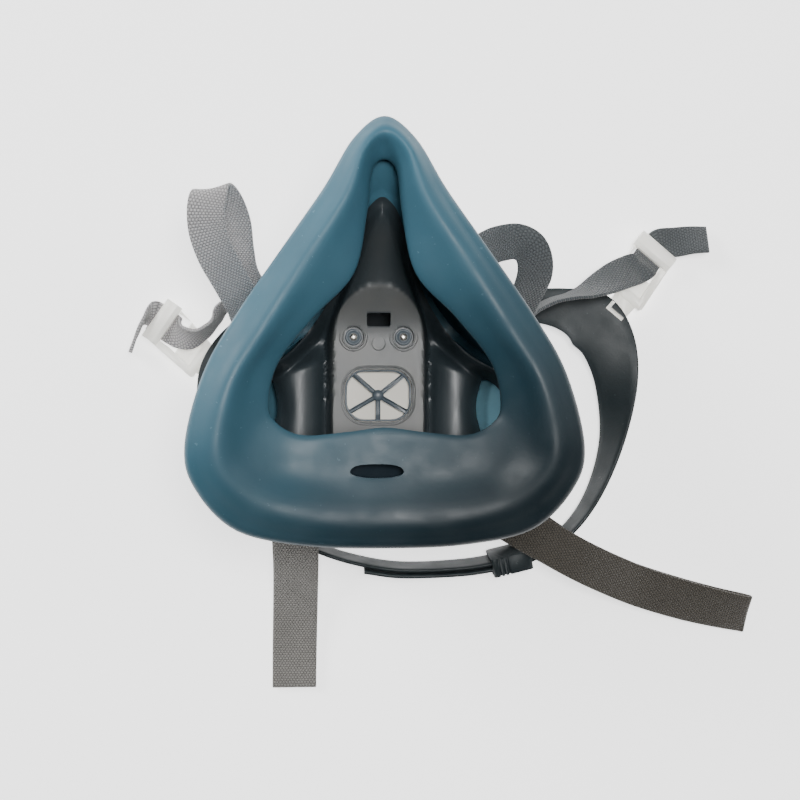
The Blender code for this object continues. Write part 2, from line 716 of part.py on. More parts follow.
def wrap(middle, onward, across, radius, width, tail_length=7.0):
    """Stations of a strap end: a short tail below a bar, round it and off over the top."""
    normal = across.cross(onward).normalized()
    if normal.z < 0:
        normal = -normal
    tail = middle + onward * tail_length - normal * radius
    back = 0.70 * radius
    return [(tail, across, width),
            (middle + onward * tail_length / 2 - normal * radius, across, width),
            (middle - normal * radius, across, width),
            (middle - onward * back - normal * back, across, width),
            (middle - onward * radius, across, width),
            (middle - onward * back + normal * back, across, width),
            (middle + normal * radius, across, width)]


def wrap_radius():
    return 1.42 * ROD + 0.2 + STRAP_THICKNESS / 2


def strap_frame(middle, onward, across, strap_width, material):
    """Slotted end of a yoke arm; the strap wraps its outer bar."""
    half = strap_width / 2 + CLEARANCE + SIDE_BAR
    slot = strap_width / 2 + CLEARANCE
    far = wrap_radius() + STRAP_THICKNESS / 2 + 3 * CLEARANCE
    thick = YOKE_THICKNESS / 2
    frame = box("frame", (-half, -far - 3.0, -thick), (half, ROD, thick), material)
    cut(frame, box("slot", (-slot, -far, -3), (slot, -ROD, 3), material))
    normal = across.cross(onward)
    return place(frame, middle, across, normal)


def harness_yoke(material):
    """Bracket under the snout, with four slotted arms for the straps."""
    half, start, end, height = YOKE_BAR
    piece = prism("harness_yoke", rounded(2 * half, end - start, 3), 0, height, material)
    place(piece, (0, (start + end) / 2, 0))
    plate_half, plate_start, plate_height = TONGUE_PLATE
    join(piece, box("plate", (-plate_half, plate_start, 0), (plate_half, start + 3, plate_height),
                    material))
    for side in (-1, 1):
        x, y, radius = YOKE_PEG
        join(piece, place(rod("post", radius + 1.4, height - 1, SNOUT_Z - CLEARANCE, material, 20),
                          (side * x, y, 0)))
        join(piece, place(rod("peg", radius, height, SNOUT_Z + 1.8, material, 16),
                          (side * x, y, 0)))
        for level, width in (("upper", UPPER_STRAP_WIDTH), ("lower", LOWER_STRAP_WIDTH)):
            middle, onward, across = strap_anchor(side, level)
            join(piece, yoke_arm(side, level, middle, onward, across, material))
            join(piece, strap_frame(middle, onward, across, width, material))
    smooth(piece)
    return piece


def yoke_arm(side, level, middle, onward, across, material):
    """Curved arm from the bar to a slotted end."""
    half, start, end, height = YOKE_BAR
    heel = (side * (half - 6), (start + end) / 2, height / 2)
    end_place = middle - onward * 5.2
    width = YOKE_ARM_WIDTH
    flat = Vector((0, 1, 0)) if level == "upper" else Vector((-side * 0.2, 1, 0))
    across = across if across.y * flat.y > 0.1 or level == "lower" else -across
    if level == "upper":
        knee = (side * (half + 1.5), 16.0, 5.2)
        stations = [(heel, flat, width), (knee, flat, width),
                    (end_place.lerp(Vector(knee), 0.4), (flat + across * 0.6), width),
                    (end_place, across, width)]
    else:
        knee = (side * (half + 0.5), 2.0, 4.2)
        shin = (side * (half + 0.5), -18.0, 6.6)
        ankle = end_place - onward * 5.6 - Vector((0, 0, 3.6))
        sideways = Vector((side, 0, 0))
        across = across * (1 if side * across.x > 0 else -1)
        stations = [(heel, Vector((side, 0.6, 0)), width), (knee, sideways, width),
                    (shin, sideways, width), (ankle, sideways + across * 0.4, width),
                    (end_place, across, width)]
    return ribbon("arm", stations, YOKE_THICKNESS - 0.3, material, 4)


def cradle_path():
    """Stations round the cradle, from the inner chin end to the outer one.

    Each is (x, y, z, lean in degrees, width): a lean of 0 lies flat and 90 stands on edge.
    """
    arm, tip = CRADLE_WIDTH, TIP_WIDTH
    on_edge = 9.0
    under = 2.5
    return [
        (56.0, -55.9, on_edge, 77, arm), (46.5, -58.4, on_edge, 77, arm),
        (32, -60.8, on_edge, 77, arm), (10, -61.5, on_edge, 78, arm),
        (-7.5, -58.6, on_edge, 78, arm), (-22, -53.6, on_edge, 78, arm),
        (-38.5, -45.5, on_edge, 76, arm), (-50.0, -32, 8.6, 62, arm),
        (-55.5, -16, 7.6, 34, arm + 1), (-55.5, -3, CRADLE_Z, 10, tip * 0.7),
        (-52.5, 9, CRADLE_Z, 0, tip * 0.86), (-45, 20.5, 7.1, 0, tip * 0.72),
        (-33, 28, under, 0, arm + 1), (-15, 31, under, 0, arm), (10, 32.5, under, 0, arm),
        (35, 33.5, under, 0, arm + 1), (56, 33, 4.4, 0, arm + 2),
        (69, 31.5, CRADLE_Z, 0, tip * 0.70), (79, 27.4, CRADLE_Z, 0, tip),
        (85.6, 18.5, CRADLE_Z, 6, tip * 0.9), (88.5, 4, CRADLE_Z, 26, tip * 0.72),
        (86.8, -16, 7.4, 54, arm + 2), (80.0, -35, 8.4, 70, arm + 0.5),
        (70.0, -48.8, on_edge, 76, arm), (56.0, -58.1, on_edge, 77, arm),
        (46.5, -60.6, on_edge, 77, arm), (32, -62.9, on_edge, 77, arm),
        (10, -63.6, on_edge, 78, arm), (-3.5, -61.9, on_edge, 78, arm)]


def head_cradle(material):
    """One moulded band; its ends overlap at the chin side, pegged together."""
    path = [stretch(station) for station in cradle_path()]
    stations = []
    for index, (x, y, z, lean, width) in enumerate(path):
        ahead = path[min(index + 1, len(path) - 1)]
        behind = path[max(index - 1, 0)]
        along = Vector((ahead[0] - behind[0], ahead[1] - behind[1], 0)).normalized()
        outward = Vector((-along.y, along.x, 0))
        turn = math.radians(lean)
        across = outward * math.cos(turn) + Vector((0, 0, math.sin(turn)))
        stations.append(((x, y, z), across, width))
    piece = ribbon("head_cradle", stations, CRADLE_THICKNESS, material, 3)
    for x, y, outward in ((*RIGHT_PIN, RIGHT_OUTWARD), (*LEFT_PIN, LEFT_OUTWARD)):
        x, y = stretch((x, y))
        width, length = 2 * (PIN_RADIUS + PIN_PLAY) + 3.0, 2 * (PIN_RADIUS + PIN_PLAY)
        slot = prism("slot", rounded(width, length, 1.0, 2), -5, 5, material)
        cut(piece, place(slot, (x, y, CRADLE_Z), (outward[1], -outward[0], 0)))
    for peg_x, peg_y in CRADLE_PEGS:
        x, y = stretch((peg_x, peg_y))
        hole = rod("hole", PEG_RADIUS + CLEARANCE, 1.1, 5, material, 16)
        cut(piece, place(hole, (x, y, 9.0), (1, 0, 0), (0.0, -1, 0.21)))
        peg = rod("peg", PEG_RADIUS, 0, 3.9, material, 16)
        join(piece, place(peg, (x, y, 9.0), (1, 0, 0), (0.0, -1, 0.21)))
    smooth(piece)
    return piece


def cradle_keeper(material):
    """Sleeve that holds the cradle's two overlapped ends together."""
    x, y = stretch((49.0, -59.0))
    along = Vector((0.972, 0.235, 0))
    lean = math.radians(77)
    across = Vector((0.235, -0.972, 0)) * math.cos(lean) + Vector((0, 0, math.sin(lean)))
    normal = along.cross(across)
    tall = CRADLE_WIDTH + 2 * CLEARANCE
    deep = 2 * CRADLE_THICKNESS + 1.4 + 2 * CLEARANCE
    wall = 1.0
    piece = prism("cradle_keeper", rounded(14.5, tall + 2 * wall, 1.2, 2), -deep / 2 - wall,
                  deep / 2 + wall, material)
    place(piece, (x, y, 9.0), along, normal)
    hollow = box("hollow", (-20, -tall / 2, -deep / 2), (20, tall / 2, deep / 2), material)
    cut(piece, place(hollow, (x, y, 9.0), along, normal))
    smooth(piece)
    return piece


def buckle_frame(side):
    """The buckle's pin place and its local axes: across and outward."""
    pin = RIGHT_PIN if side > 0 else LEFT_PIN
    outward = Vector((*(RIGHT_OUTWARD if side > 0 else LEFT_OUTWARD), 0)).normalized()
    x, y = stretch(pin)
    return Vector((x, y, BUCKLE_Z)), Vector((outward.y, -outward.x, 0)), outward


def buckle(name, side, material):
    """Plate with a strap slot under a raised bar, a tongue and the pin in the cradle."""
    middle, across, outward = buckle_frame(side)
    lean = -side * BUCKLE_LEAN
    end = BUCKLE_START + BUCKLE_LENGTH
    thick = BUCKLE_THICKNESS / 2
    slot = BUCKLED_WIDTH / 2 + 0.5
    wide = slot + 2.0
    outline = [(-6.9, BUCKLE_START), (6.9, BUCKLE_START), (wide + lean, end - 1.5),
               (wide - 1.2 + lean, end), (-wide + 1.2 + lean, end), (-wide + lean, end - 1.5)]
    piece = prism(name, outline, -thick, thick, material)
    edge = end - 4.6
    cut(piece, box("slot", (lean - slot, edge - 6.4, -5), (lean + slot, end + 5, 5), material))
    hood = [(-wide + lean, edge), (wide + lean, edge), (wide + lean, end), (-wide + lean, end)]
    join(piece, prism("hood", hood, thick - 0.9, thick + 1.9, material))
    cut(piece, box("pocket", (-3.8, BUCKLE_START + 2.2, -5), (3.8, BUCKLE_START + 4.4, 5),
                   material))
    join(piece, prism("tongue", [(-4, -2.6), (4, -2.6), (4.6, BUCKLE_START + 1.4),
                                 (-4.6, BUCKLE_START + 1.4)], -thick + 0.1, 0.7, material))
    pin = rod("pin", PIN_RADIUS, -0.5, CRADLE_Z - BUCKLE_Z + CRADLE_THICKNESS / 2 + 1.2,
              material, 20)
    join(piece, pin)
    place(piece, middle, across)
    smooth(piece)
    return piece


def through_buckle(side):
    """Stations of an upper strap where it threads its buckle."""
    middle, across, outward = buckle_frame(side)
    lean = -side * BUCKLE_LEAN
    end = BUCKLE_START + BUCKLE_LENGTH
    width = BUCKLED_WIDTH
    rows = [(end - 9.6, 3.2), (end - 7.4, 1.2), (end - 4.4, -0.55), (end - 0.5, -0.6),
            (end + 2.2, -0.4)]
    return [(middle + across * lean + outward * reach + Vector((0, 0, rise)), across, width)
            for reach, rise in rows]


def upper_strap(name, side, material):
    """From the yoke up into a loop, down past the rim and through the buckle."""
    middle, onward, across = strap_anchor(side, "upper")
    width = UPPER_STRAP_WIDTH
    stations = wrap(middle, onward, across * -side, wrap_radius(), width)
    if side < 0:
        loop = [((-46.4, 41.0, 26), (0.84, 0.46, 0.3)), ((-48.2, 50.0, 34), (0.82, 0.32, 0.46)),
                ((-49.0, 58.0, 42), (0.86, 0.25, 0.4)), ((-51.2, 63.6, 47.4), (0.93, 0.25, 0.22)),
                ((-53.6, 66.6, 51.6), (0.965, 0.24, 0.08)), ((-55.4, 67.0, 55.2), (0.97, 0.23, 0)),
                ((-56.7, 64.2, 57.4), (0.98, 0.19, 0)), ((-57.3, 59.4, 57.6), (0.99, 0.12, 0)),
                ((-56.8, 53.4, 55.8), (0.975, 0.22, 0)), ((-54.4, 46.4, 52), (0.92, 0.40, 0)),
                ((-50.9, 40.2, 46.8), (0.87, 0.49, 0)), ((-47.6, 34.4, 40.6), (0.86, 0.51, 0)),
                ((-45.2, 29.8, 34), (0.75, 0.5, 0.4)), ((-45.6, 28.4, 28.4), (0.4, 0.4, 0.82)),
                ((-49.0, 30.2, 23.6), (0.1, 0.2, 0.97)), ((-53.0, 29.8, 20), (0, 0.15, 0.99)),
                ((-56.6, 25.8, 17), (-0.02, 0.2, 0.98)), ((-60.8, 22.4, 14.4), (0.1, 0.42, 0.9)),
                ((-65.6, 21.0, 11.6), (0.3, 0.65, 0.7))]
        tail = [((-83.0, 28.2, 5.6), (0.6, 0.7, 0.45)), ((-85.4, 22.0, 7.2), (0.25, 0.15, 0.95)),
                ((-86.8, 16.6, 7.2), (0.2, 0.05, 0.97))]
    else:
        loop = [((37.0, 49.0, 29), (-0.66, 0.68, -0.3)), ((38.8, 51.0, 36.5), (-0.42, 0.85, -0.3)),
                ((42.4, 51.8, 42.5), (-0.30, 0.92, -0.25)), ((46.4, 51.8, 46.4), (-0.04, 0.97, -0.2)),
                ((50.2, 49.6, 48), (0.5, 0.84, 0.1)), ((52.2, 45.6, 47.2), (0.88, 0.45, 0.1)),
                ((52.6, 40.8, 44.4), (0.98, 0.15, 0.05)), ((51.2, 35.6, 39.6), (0.96, 0.2, 0.05)),
                ((48.8, 30.4, 33.6), (0.9, 0.25, 0.35)), ((48.4, 27.4, 28.4), (0.6, 0.05, 0.8)),
                ((51.8, 28.2, 24.4), (0.25, -0.08, 0.96)), ((57.2, 31.0, 21.6), (0.08, -0.12, 0.98)),
                ((63.5, 33.8, 19.6), (0.03, -0.15, 0.98)), ((70.0, 35.4, 18), (0.02, -0.2, 0.97)),
                ((76.0, 37.2, 16.6), (0.15, -0.42, 0.9)), ((82.0, 40.2, 14.6), (0.34, -0.65, 0.68)),
                ((88.2, 43.4, 12), (0.5, -0.78, 0.36)), ((93.8, 45.6, 9.2), (0.7, -0.70, 0.1))]
        tail = [((110.4, 56.2, 4.6), (0.5, -0.82, 0.1)), ((116.5, 57.0, 5.4), (0.3, -0.9, 0.35)),
                ((122.6, 57.2, 5.8), (0.22, -0.86, 0.45))]
    stations += [(stretch(where), turn, width) for where, turn in loop]
    stations += through_buckle(side)
    stations += [(stretch(where), turn, BUCKLED_WIDTH) for where, turn in tail]
    piece = ribbon(name, stations, STRAP_THICKNESS, material, 2)
    smooth(piece)
    return piece


def lower_strap(name, side, material):
    """From the yoke over the cradle, folded back beneath itself to its clasp half."""
    middle, onward, across = strap_anchor(side, "lower")
    width = LOWER_STRAP_WIDTH
    stations = wrap(middle, onward, across, wrap_radius(), width, 3.6)
    if side < 0:
        flat = (-1, 0, 0)
        out = [(-28.0, -45.4, 15.0), (-27.9, -50.0, 16.2), (-27.8, -55.0, 15.8),
               (-27.8, -62.0, 12.8),
               (-27.9, -72.0, 7.2), (-28.1, -84.0, 3.6), (-28.3, -95.0, 2.7),
               (-28.4, -103.4, 2.7)]
        back = [(-28.4, -105.0, 1.75), (-28.4, -103.4, 0.85), (-28.4, -92.0, 0.85),
                (-28.2, -76.0, 0.85), (-28.2, -62.0, 0.85), (-28.8, -48.0, 0.85)]
        stations += [(stretch(where), flat, width) for where in out + back]
    else:
        out = [((44.6, -42.6, 16.6), (0.5, 0.86, 0)), ((52.0, -46.9, 17.2), (0.5, 0.86, 0)),
               ((61.0, -52.0, 17.2), (0.49, 0.87, 0)),
               ((73.5, -58.9, 15.8), (0.45, 0.89, 0)), ((85.0, -64.4, 12.4), (0.38, 0.92, 0)),
               ((98.0, -69.8, 8.2), (0.3, 0.95, 0.1)), ((113.0, -74.6, 6.0), (0.22, 0.95, 0.2)),
               ((125.0, -77.7, 5.6), (0.16, 0.93, 0.32)), ((135.2, -79.8, 6.2), (0.1, 0.9, 0.42))]
        back = [((136.8, -79.8, 5.3), (0.1, 0.9, 0.42)), ((135.2, -79.2, 4.4), (0.1, 0.9, 0.42)),
                ((125.0, -77.3, 3.7), (0.16, 0.95, 0.28)), ((113.0, -74.4, 2.8), (0.22, 0.96, 0.12)),
                ((98.0, -69.8, 1.2), (0.3, 0.95, 0.03)), ((85.0, -64.8, 0.85), (0.38, 0.92, 0)),
                ((71.0, -57.4, 0.85), (0.5, 0.86, 0))]
        stations += [(stretch(where), turn, width - 1.0) for where, turn in out + back]
    clasp, toward, bar = clasp_frame(side)
    finish_wrap = wrap(clasp, -toward, bar, wrap_radius(), width - 1.0)[::-1]
    flipped = [((where[0], where[1], 2 * clasp.z - where[2]), turn, wide)
               for where, turn, wide in finish_wrap]
    stations += flipped
    piece = ribbon(name, stations, STRAP_THICKNESS, material, 2)
    smooth(piece)
    return piece


def clasp_frame(side):
    """A clasp half: the bar its strap wraps, the way it points and the bar's direction."""
    height = 0.85 + wrap_radius()
    if side < 0:
        return Vector((*stretch((-29.6, -33.0)), height)), Vector((0.0, 1.0, 0.0)), \
            Vector((-1.0, 0.0, 0.0))
    return Vector((*stretch((50.4, -43.4)), height)), Vector((-0.85, 0.53, 0.0)), \
        Vector((0.53, 0.85, 0.0))


def neck_clasp(name, side, material):
    """Frame round the strap's bar, with a hook or a loop in front."""
    middle, toward, bar = clasp_frame(side)
    strap = LOWER_STRAP_WIDTH - 1.0
    slot = strap / 2 + CLEARANCE
    half = slot + 1.8
    far = wrap_radius() + STRAP_THICKNESS / 2 + 3 * CLEARANCE
    thick = 1.2
    outline = [(-half, -ROD), (half, -ROD), (half, far + 3), (5.5, far + 7), (-5.5, far + 7),
               (-half, far + 3)]
    piece = prism(name, outline, -thick, thick, material)
    cut(piece, box("slot", (-slot, ROD, -3), (slot, far, 3), material))
    if side < 0:
        join(piece, box("hook", (-2.4, far + 5, -thick + 0.1), (2.4, far + 9.5, 0), material))
        join(piece, box("nib", (-2.4, far + 8.0, -0.5), (2.4, far + 9.5, 1.3), material))
    else:
        cut(piece, box("eye", (-3.2, far + 2.2, -3), (3.2, far + 5.0, 3), material))
    place(piece, middle, toward.cross(Vector((0, 0, 1))))
    smooth(piece)
    return piece


# ---------------------------------------------------------------- assembly

def build():
    for leftover in list(bpy.data.objects):
        bpy.data.objects.remove(leftover)
    silicone = finish("silicone_teal", (0.055, 0.15, 0.22), 0.5)
    adapter_grey = finish("adapter_grey", (0.11, 0.13, 0.15), 0.3)
    housing_grey = finish("housing_grey", (0.10, 0.12, 0.13), 0.4)
    steel = finish("screw_steel", (0.6, 0.6, 0.58), 0.35, 1.0)
    spoke_grey = finish("seat_grey", (0.16, 0.2, 0.25), 0.4)
    cream = finish("valve_cream", (0.75, 0.72, 0.66), 0.6)
    pale_teal = finish("valve_teal", (0.25, 0.42, 0.5), 0.4)
    rubber = finish("gasket_black", (0.03, 0.03, 0.03), 0.7)
    yoke_grey = finish("yoke_grey", (0.3, 0.34, 0.36), 0.45)
    cradle_grey = finish("cradle_grey", (0.07, 0.09, 0.1), 0.5)
    milky = finish("buckle_milky", (0.8, 0.8, 0.76), 0.35)
    webbing = finish("webbing_grey", (0.22, 0.22, 0.23), 0.9)
    taupe = finish("webbing_taupe", (0.12, 0.1, 0.085), 0.9)

    face_seal(silicone)
    center_adapter(adapter_grey)
    front_housing(housing_grey)
    for label, x, y in screw_places():
        adapter_screw("adapter_screw_" + label, x, y, steel)
    exhalation_seat(spoke_grey)
    exhalation_valve(cream)
    exhalation_cover(housing_grey)
    for label, side in (("left", -1), ("right", 1)):
        bayonet("bayonet_" + label, side, housing_grey)
        port_gasket("port_gasket_" + label, side, rubber)
        inhalation_valve("inhalation_valve_" + label, side, pale_teal)
        buckle("buckle_" + label, side, milky)
        upper_strap("upper_strap_" + label, side, webbing)
        lower_strap("lower_strap_" + label, side, webbing if side < 0 else taupe)
    harness_yoke(yoke_grey)
    head_cradle(cradle_grey)
    cradle_keeper(cradle_grey)
    neck_clasp("neck_clasp_hook", -1, cradle_grey)
    neck_clasp("neck_clasp_loop", 1, cradle_grey)


build()
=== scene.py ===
"""Half-mask respirator lying on its front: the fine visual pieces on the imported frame.

The frame is the CAD's: X across the face, Y from chin to nose, Z from the table up.
Sizes and places below are in millimetres, and the meshes are made in metres.
"""
import math

import bmesh
import bpy
import numpy as np
from mathutils import Matrix, Vector


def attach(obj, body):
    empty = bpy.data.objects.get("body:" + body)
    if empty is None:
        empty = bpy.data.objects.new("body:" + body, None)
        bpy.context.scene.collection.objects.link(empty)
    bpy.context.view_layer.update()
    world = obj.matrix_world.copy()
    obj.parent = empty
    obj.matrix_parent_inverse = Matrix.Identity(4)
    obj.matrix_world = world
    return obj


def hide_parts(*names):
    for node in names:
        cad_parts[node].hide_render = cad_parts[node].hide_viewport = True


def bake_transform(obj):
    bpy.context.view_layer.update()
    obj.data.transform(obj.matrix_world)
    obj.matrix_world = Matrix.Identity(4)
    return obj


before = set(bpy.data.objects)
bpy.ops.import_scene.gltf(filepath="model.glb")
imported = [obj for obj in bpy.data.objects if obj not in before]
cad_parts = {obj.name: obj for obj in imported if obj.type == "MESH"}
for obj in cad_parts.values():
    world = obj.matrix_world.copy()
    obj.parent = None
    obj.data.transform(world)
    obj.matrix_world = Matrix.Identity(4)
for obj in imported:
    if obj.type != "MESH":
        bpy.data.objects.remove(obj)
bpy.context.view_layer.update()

MM = 0.001
CLEARANCE = 0.3

# Half contours of the seal from nose to chin: x, y, z
RIM = [(0, 88, 73), (10, 80.6, 74.5), (19.3, 65, 76), (31.4, 47, 78), (47, 24.1, 80),
       (56.9, 6.6, 81), (62.6, -15.9, 81), (59, -29.8, 79), (46.4, -42.6, 76),
       (25, -47.5, 74.5), (0, -48.5, 74)]
RIDGE = [(0, 82.4, 81), (6.9, 76.6, 83), (12.4, 61.2, 85), (24.5, 42, 86.5), (38.3, 19.5, 88),
         (47.5, 3.5, 88.5), (51.5, -15, 88), (48.3, -25.5, 86), (37.5, -33.5, 83),
         (20, -37.3, 81), (0, -38, 80.5)]
SLOPE = [(0, 78.8, 77.5), (4.9, 74.4, 78.4), (8.2, 60, 80), (16.8, 40.4, 81.5), (30.6, 21.8, 82.5),
         (40.8, 6.4, 83), (44.2, -9.6, 82.5), (41.2, -18, 80.5), (32, -24, 78),
         (16.5, -25.4, 77), (0, -25, 77)]
MOUTH = [(0, 75, 72.5), (3.9, 71.3, 72.5), (5.5, 58, 74), (10, 38.5, 76), (22.8, 24.3, 77.5),
         (34, 9.6, 78), (36.9, -3.5, 77.5), (34, -9.6, 77), (26, -13.2, 76.5),
         (12, -12.3, 76.5), (0, -11, 76.5)]
BASE = [(0, 67.5), (7.5, 62), (12.5, 50), (19, 35), (32, 19), (46.5, 8), (51.5, -7),
        (47, -23), (33, -33.5), (17, -37.5), (0, -38)]
BASE_RISE = [(-38, 25), (-33.5, 29), (-23, 38), (-7, 46), (8, 43), (14, 34), (22, 29),
             (35, 34), (50, 44), (61.5, 55), (66, 58)]
SEAL_WALL = 2.1
SHOULDER_RISE = 2.4
MOUTH_ROLL = 2.6
CHIN_SLOT = (17.0, 5.2)
CHIN_SLOT_X = -2.6
CHIN_SLOT_Y = -24.2

PLATE_HEIGHT = [(-34, 35), (-20, 36.5), (0, 38), (25, 40), (45, 50), (58, 61.5), (63, 62)]
PLATE_HALF_WIDTH = [(-34, 16.4), (14, 16.1), (24, 15.2), (30, 13.2), (36, 10.8), (44, 7.6),
                    (51, 6.2), (60, 5.2)]
PANEL_HALF = 15.8
PANEL_SHOULDER = 19.0
PANEL_TOP = 37.6
SADDLE_X = 27.0
SADDLE_FOOT = 28.0
SADDLE_RISE = 9.5
SADDLE_INNER_HALF = 10.0
SADDLE_OUTER_HALF = 10.4
ADAPTER_WALL = 2.2
WINDOW = (23.2, 18.2)
SCREWS = [(-8.5, 19.8), (8.5, 19.8)]
PORT_CENTRE = Vector((38.0, -4.0, 31.5))
PORT_AXIS = Vector((0.76, 0.0, -0.65))
PORT_TUBE = 11.2

STRAP_THICKNESS = 1.2
UPPER_STRAP_WIDTH = 12.2
LOWER_STRAP_WIDTH = 15.8
WRAP_RADIUS = 2.5
CRADLE_Z = 7.0
CRADLE_THICKNESS = 1.4
BUCKLE_Z = 4.5
RIGHT_PIN, RIGHT_OUTWARD = (88.0, 30.0), (0.648, 0.762)
LEFT_PIN, LEFT_OUTWARD = (-55.5, 8.0), (-0.817, 0.577)
BUCKLE_START = 6.7
BUCKLE_END = 29.2
BUCKLE_LEAN = 3.4
BUCKLED_WIDTH = 11.0
HOOK = [(-3.6, -0.65), (3.3, -0.65), (3.3, 0.65), (-2.3, 0.65), (-2.3, 2.6), (-3.6, 2.6)]

CAMERA_TARGET = (4.1, -1.55, 85)
CAMERA_YAW = 4.0
CAMERA_DISTANCE = 480
LENS = 69.678
FLOOR_REACH = 4000


# ---- numbers

def ease(low, high, value):
    """A smooth step from 0 at low to 1 at high."""
    share = min(1.0, max(0.0, (value - low) / (high - low)))
    return share * share * (3.0 - 2.0 * share)


def along_table(table, place):
    return float(np.interp(place, [row[0] for row in table], [row[1] for row in table]))


def softly(table, place, reach=3.0):
    """A table's value averaged over a short stretch, so that no kink shows."""
    return sum(along_table(table, place + reach * step / 3) for step in range(-3, 4)) / 7


def smooth_through(points, per_span, closed=False):
    """A smooth curve through points of any dimension, per_span samples a span."""
    points = [np.array(point, float) for point in points]
    if closed:
        points = [points[-1]] + points + points[:2]
    else:
        points = [2 * points[0] - points[1]] + points + [2 * points[-1] - points[-2]]
    curve = []
    for first, second, third, fourth in zip(points, points[1:], points[2:], points[3:]):
        for step in range(per_span):
            t = step / per_span
            bend = (2 * first - 5 * second + 4 * third - fourth) * t * t
            twist = (3 * second - first - 3 * third + fourth) * t ** 3
            curve.append(0.5 * (2 * second + (third - first) * t + bend + twist))
    if not closed:
        curve.append(points[-2])
    return curve


def mirrored(half):
    """The whole closed contour from its right half."""
    back = [(-point[0],) + tuple(point[1:]) for point in half[-2:0:-1]]
    return [tuple(point) for point in half] + back


def inset(contour, distance):
    """A closed contour moved inwards."""
    moved = []
    for index, point in enumerate(contour):
        along = contour[(index + 1) % len(contour)] - contour[index - 1]
        inward = np.array([along[1], -along[0]]) / np.hypot(*along)
        moved.append(point + inward * distance)
    return moved


def edge_distance(contour, x, y):
    start = np.array(contour)
    span = np.roll(start, -1, axis=0) - start
    away = np.array([x, y]) - start
    share = np.clip((away * span).sum(axis=1) / (span * span).sum(axis=1), 0, 1)
    return float(np.sqrt((((away - span * share[:, None]) ** 2).sum(axis=1)).min()))


# ---- meshes

def solid(name, points, faces, material):
    """An object from points in mm, with its faces turned outwards."""
    mesh = bpy.data.meshes.new(name)
    mesh.from_pydata([Vector(point) * MM for point in points], [], faces)
    work = bmesh.new()
    work.from_mesh(mesh)
    bmesh.ops.recalc_face_normals(work, faces=work.faces)
    work.to_mesh(mesh)
    work.free()
    piece = bpy.data.objects.new(name, mesh)
    piece.data.materials.append(material)
    bpy.context.scene.collection.objects.link(piece)
    return piece


def settle(piece):
    """Applies the modifiers."""
    bpy.context.view_layer.update()
    graph = bpy.context.evaluated_depsgraph_get()
    mesh = bpy.data.meshes.new_from_object(piece.evaluated_get(graph))
    piece.modifiers.clear()
    piece.data = mesh


def place(piece, origin, x_axis=(1, 0, 0), z_axis=(0, 0, 1)):
    """Moves a mesh to an origin in mm, with its own X and Z along the two axes."""
    z_axis = Vector(z_axis).normalized()
    y_axis = z_axis.cross(Vector(x_axis)).normalized()
    x_axis = y_axis.cross(z_axis)
    turn = Matrix((x_axis, y_axis, z_axis)).transposed().to_4x4()
    piece.data.transform(Matrix.Translation(Vector(origin) * MM) @ turn)
    return piece


def combine(piece, tool, operation, solver="EXACT"):
    modifier = piece.modifiers.new(operation, "BOOLEAN")
    modifier.operation = operation
    modifier.solver = solver
    modifier.object = tool
    settle(piece)
    bpy.data.objects.remove(tool)


def cut(piece, *tools, solver="EXACT"):
    for tool in tools:
        combine(piece, tool, "DIFFERENCE", solver)


def join(piece, *tools, solver="EXACT"):
    for tool in tools:
        combine(piece, tool, "UNION", solver)


def smooth(piece, degrees=35.0):
    piece.data.shade_smooth()
    piece.data.set_sharp_from_angle(angle=math.radians(degrees))


def round_edges(piece, width, segments=2, degrees=35.0):
    bevel = piece.modifiers.new("bevel", "BEVEL")
    bevel.width = width * MM
    bevel.segments = segments
    bevel.limit_method = "ANGLE"
    bevel.angle_limit = math.radians(degrees)
    bevel.harden_normals = True
    settle(piece)
    smooth(piece, 50)


def prism(name, outline, low, high, material):
    """An outline in X and Y extruded from low to high."""
    count = len(outline)
    points = [(x, y, z) for z in (low, high) for x, y in outline]
    sides = [(i, (i + 1) % count, count + (i + 1) % count, count + i) for i in range(count)]
    caps = [tuple(reversed(range(count))), tuple(range(count, 2 * count))]
    return solid(name, points, sides + caps, material)


def box(name, lowest, highest, material):
    outline = [(lowest[0], lowest[1]), (highest[0], lowest[1]),
               (highest[0], highest[1]), (lowest[0], highest[1])]
    return prism(name, outline, lowest[2], highest[2], material)


def rounded(width, height, radius, steps=8):
    """A rectangle with round corners, as an outline round the origin."""
    outline = []
    for corner in range(4):
        middle_x = (width / 2 - radius) * (1 if corner in (0, 3) else -1)
        middle_y = (height / 2 - radius) * (1 if corner < 2 else -1)
        for step in range(steps + 1):
            angle = math.pi / 2 * (corner + step / steps)
            outline.append((middle_x + radius * math.cos(angle),
                            middle_y + radius * math.sin(angle)))
    return outline


def turned(name, profile, material, segments=48):
    """A profile of radius and height turned about Z."""
    points = []
    rings = []
    for radius, height in profile:
        if radius < 1e-6:
            rings.append([len(points)] * segments)
            points.append((0, 0, height))
            continue
        rings.append(list(range(len(points), len(points) + segments)))
        for step in range(segments):
            angle = 2 * math.pi * step / segments
            points.append((radius * math.cos(angle), radius * math.sin(angle), height))
    faces = []
    for ring, following in zip(rings, rings[1:] + rings[:1]):
        for step in range(segments):
            after = (step + 1) % segments
            corners = [ring[step], ring[after], following[after], following[step]]
            face = tuple(dict.fromkeys(corners))
            if len(face) > 2:
                faces.append(face)
    return solid(name, points, faces, material)


def rod(name, radius, low, high, material, segments=36):
    return turned(name, [(0, low), (radius, low), (radius, high), (0, high)], material, segments)


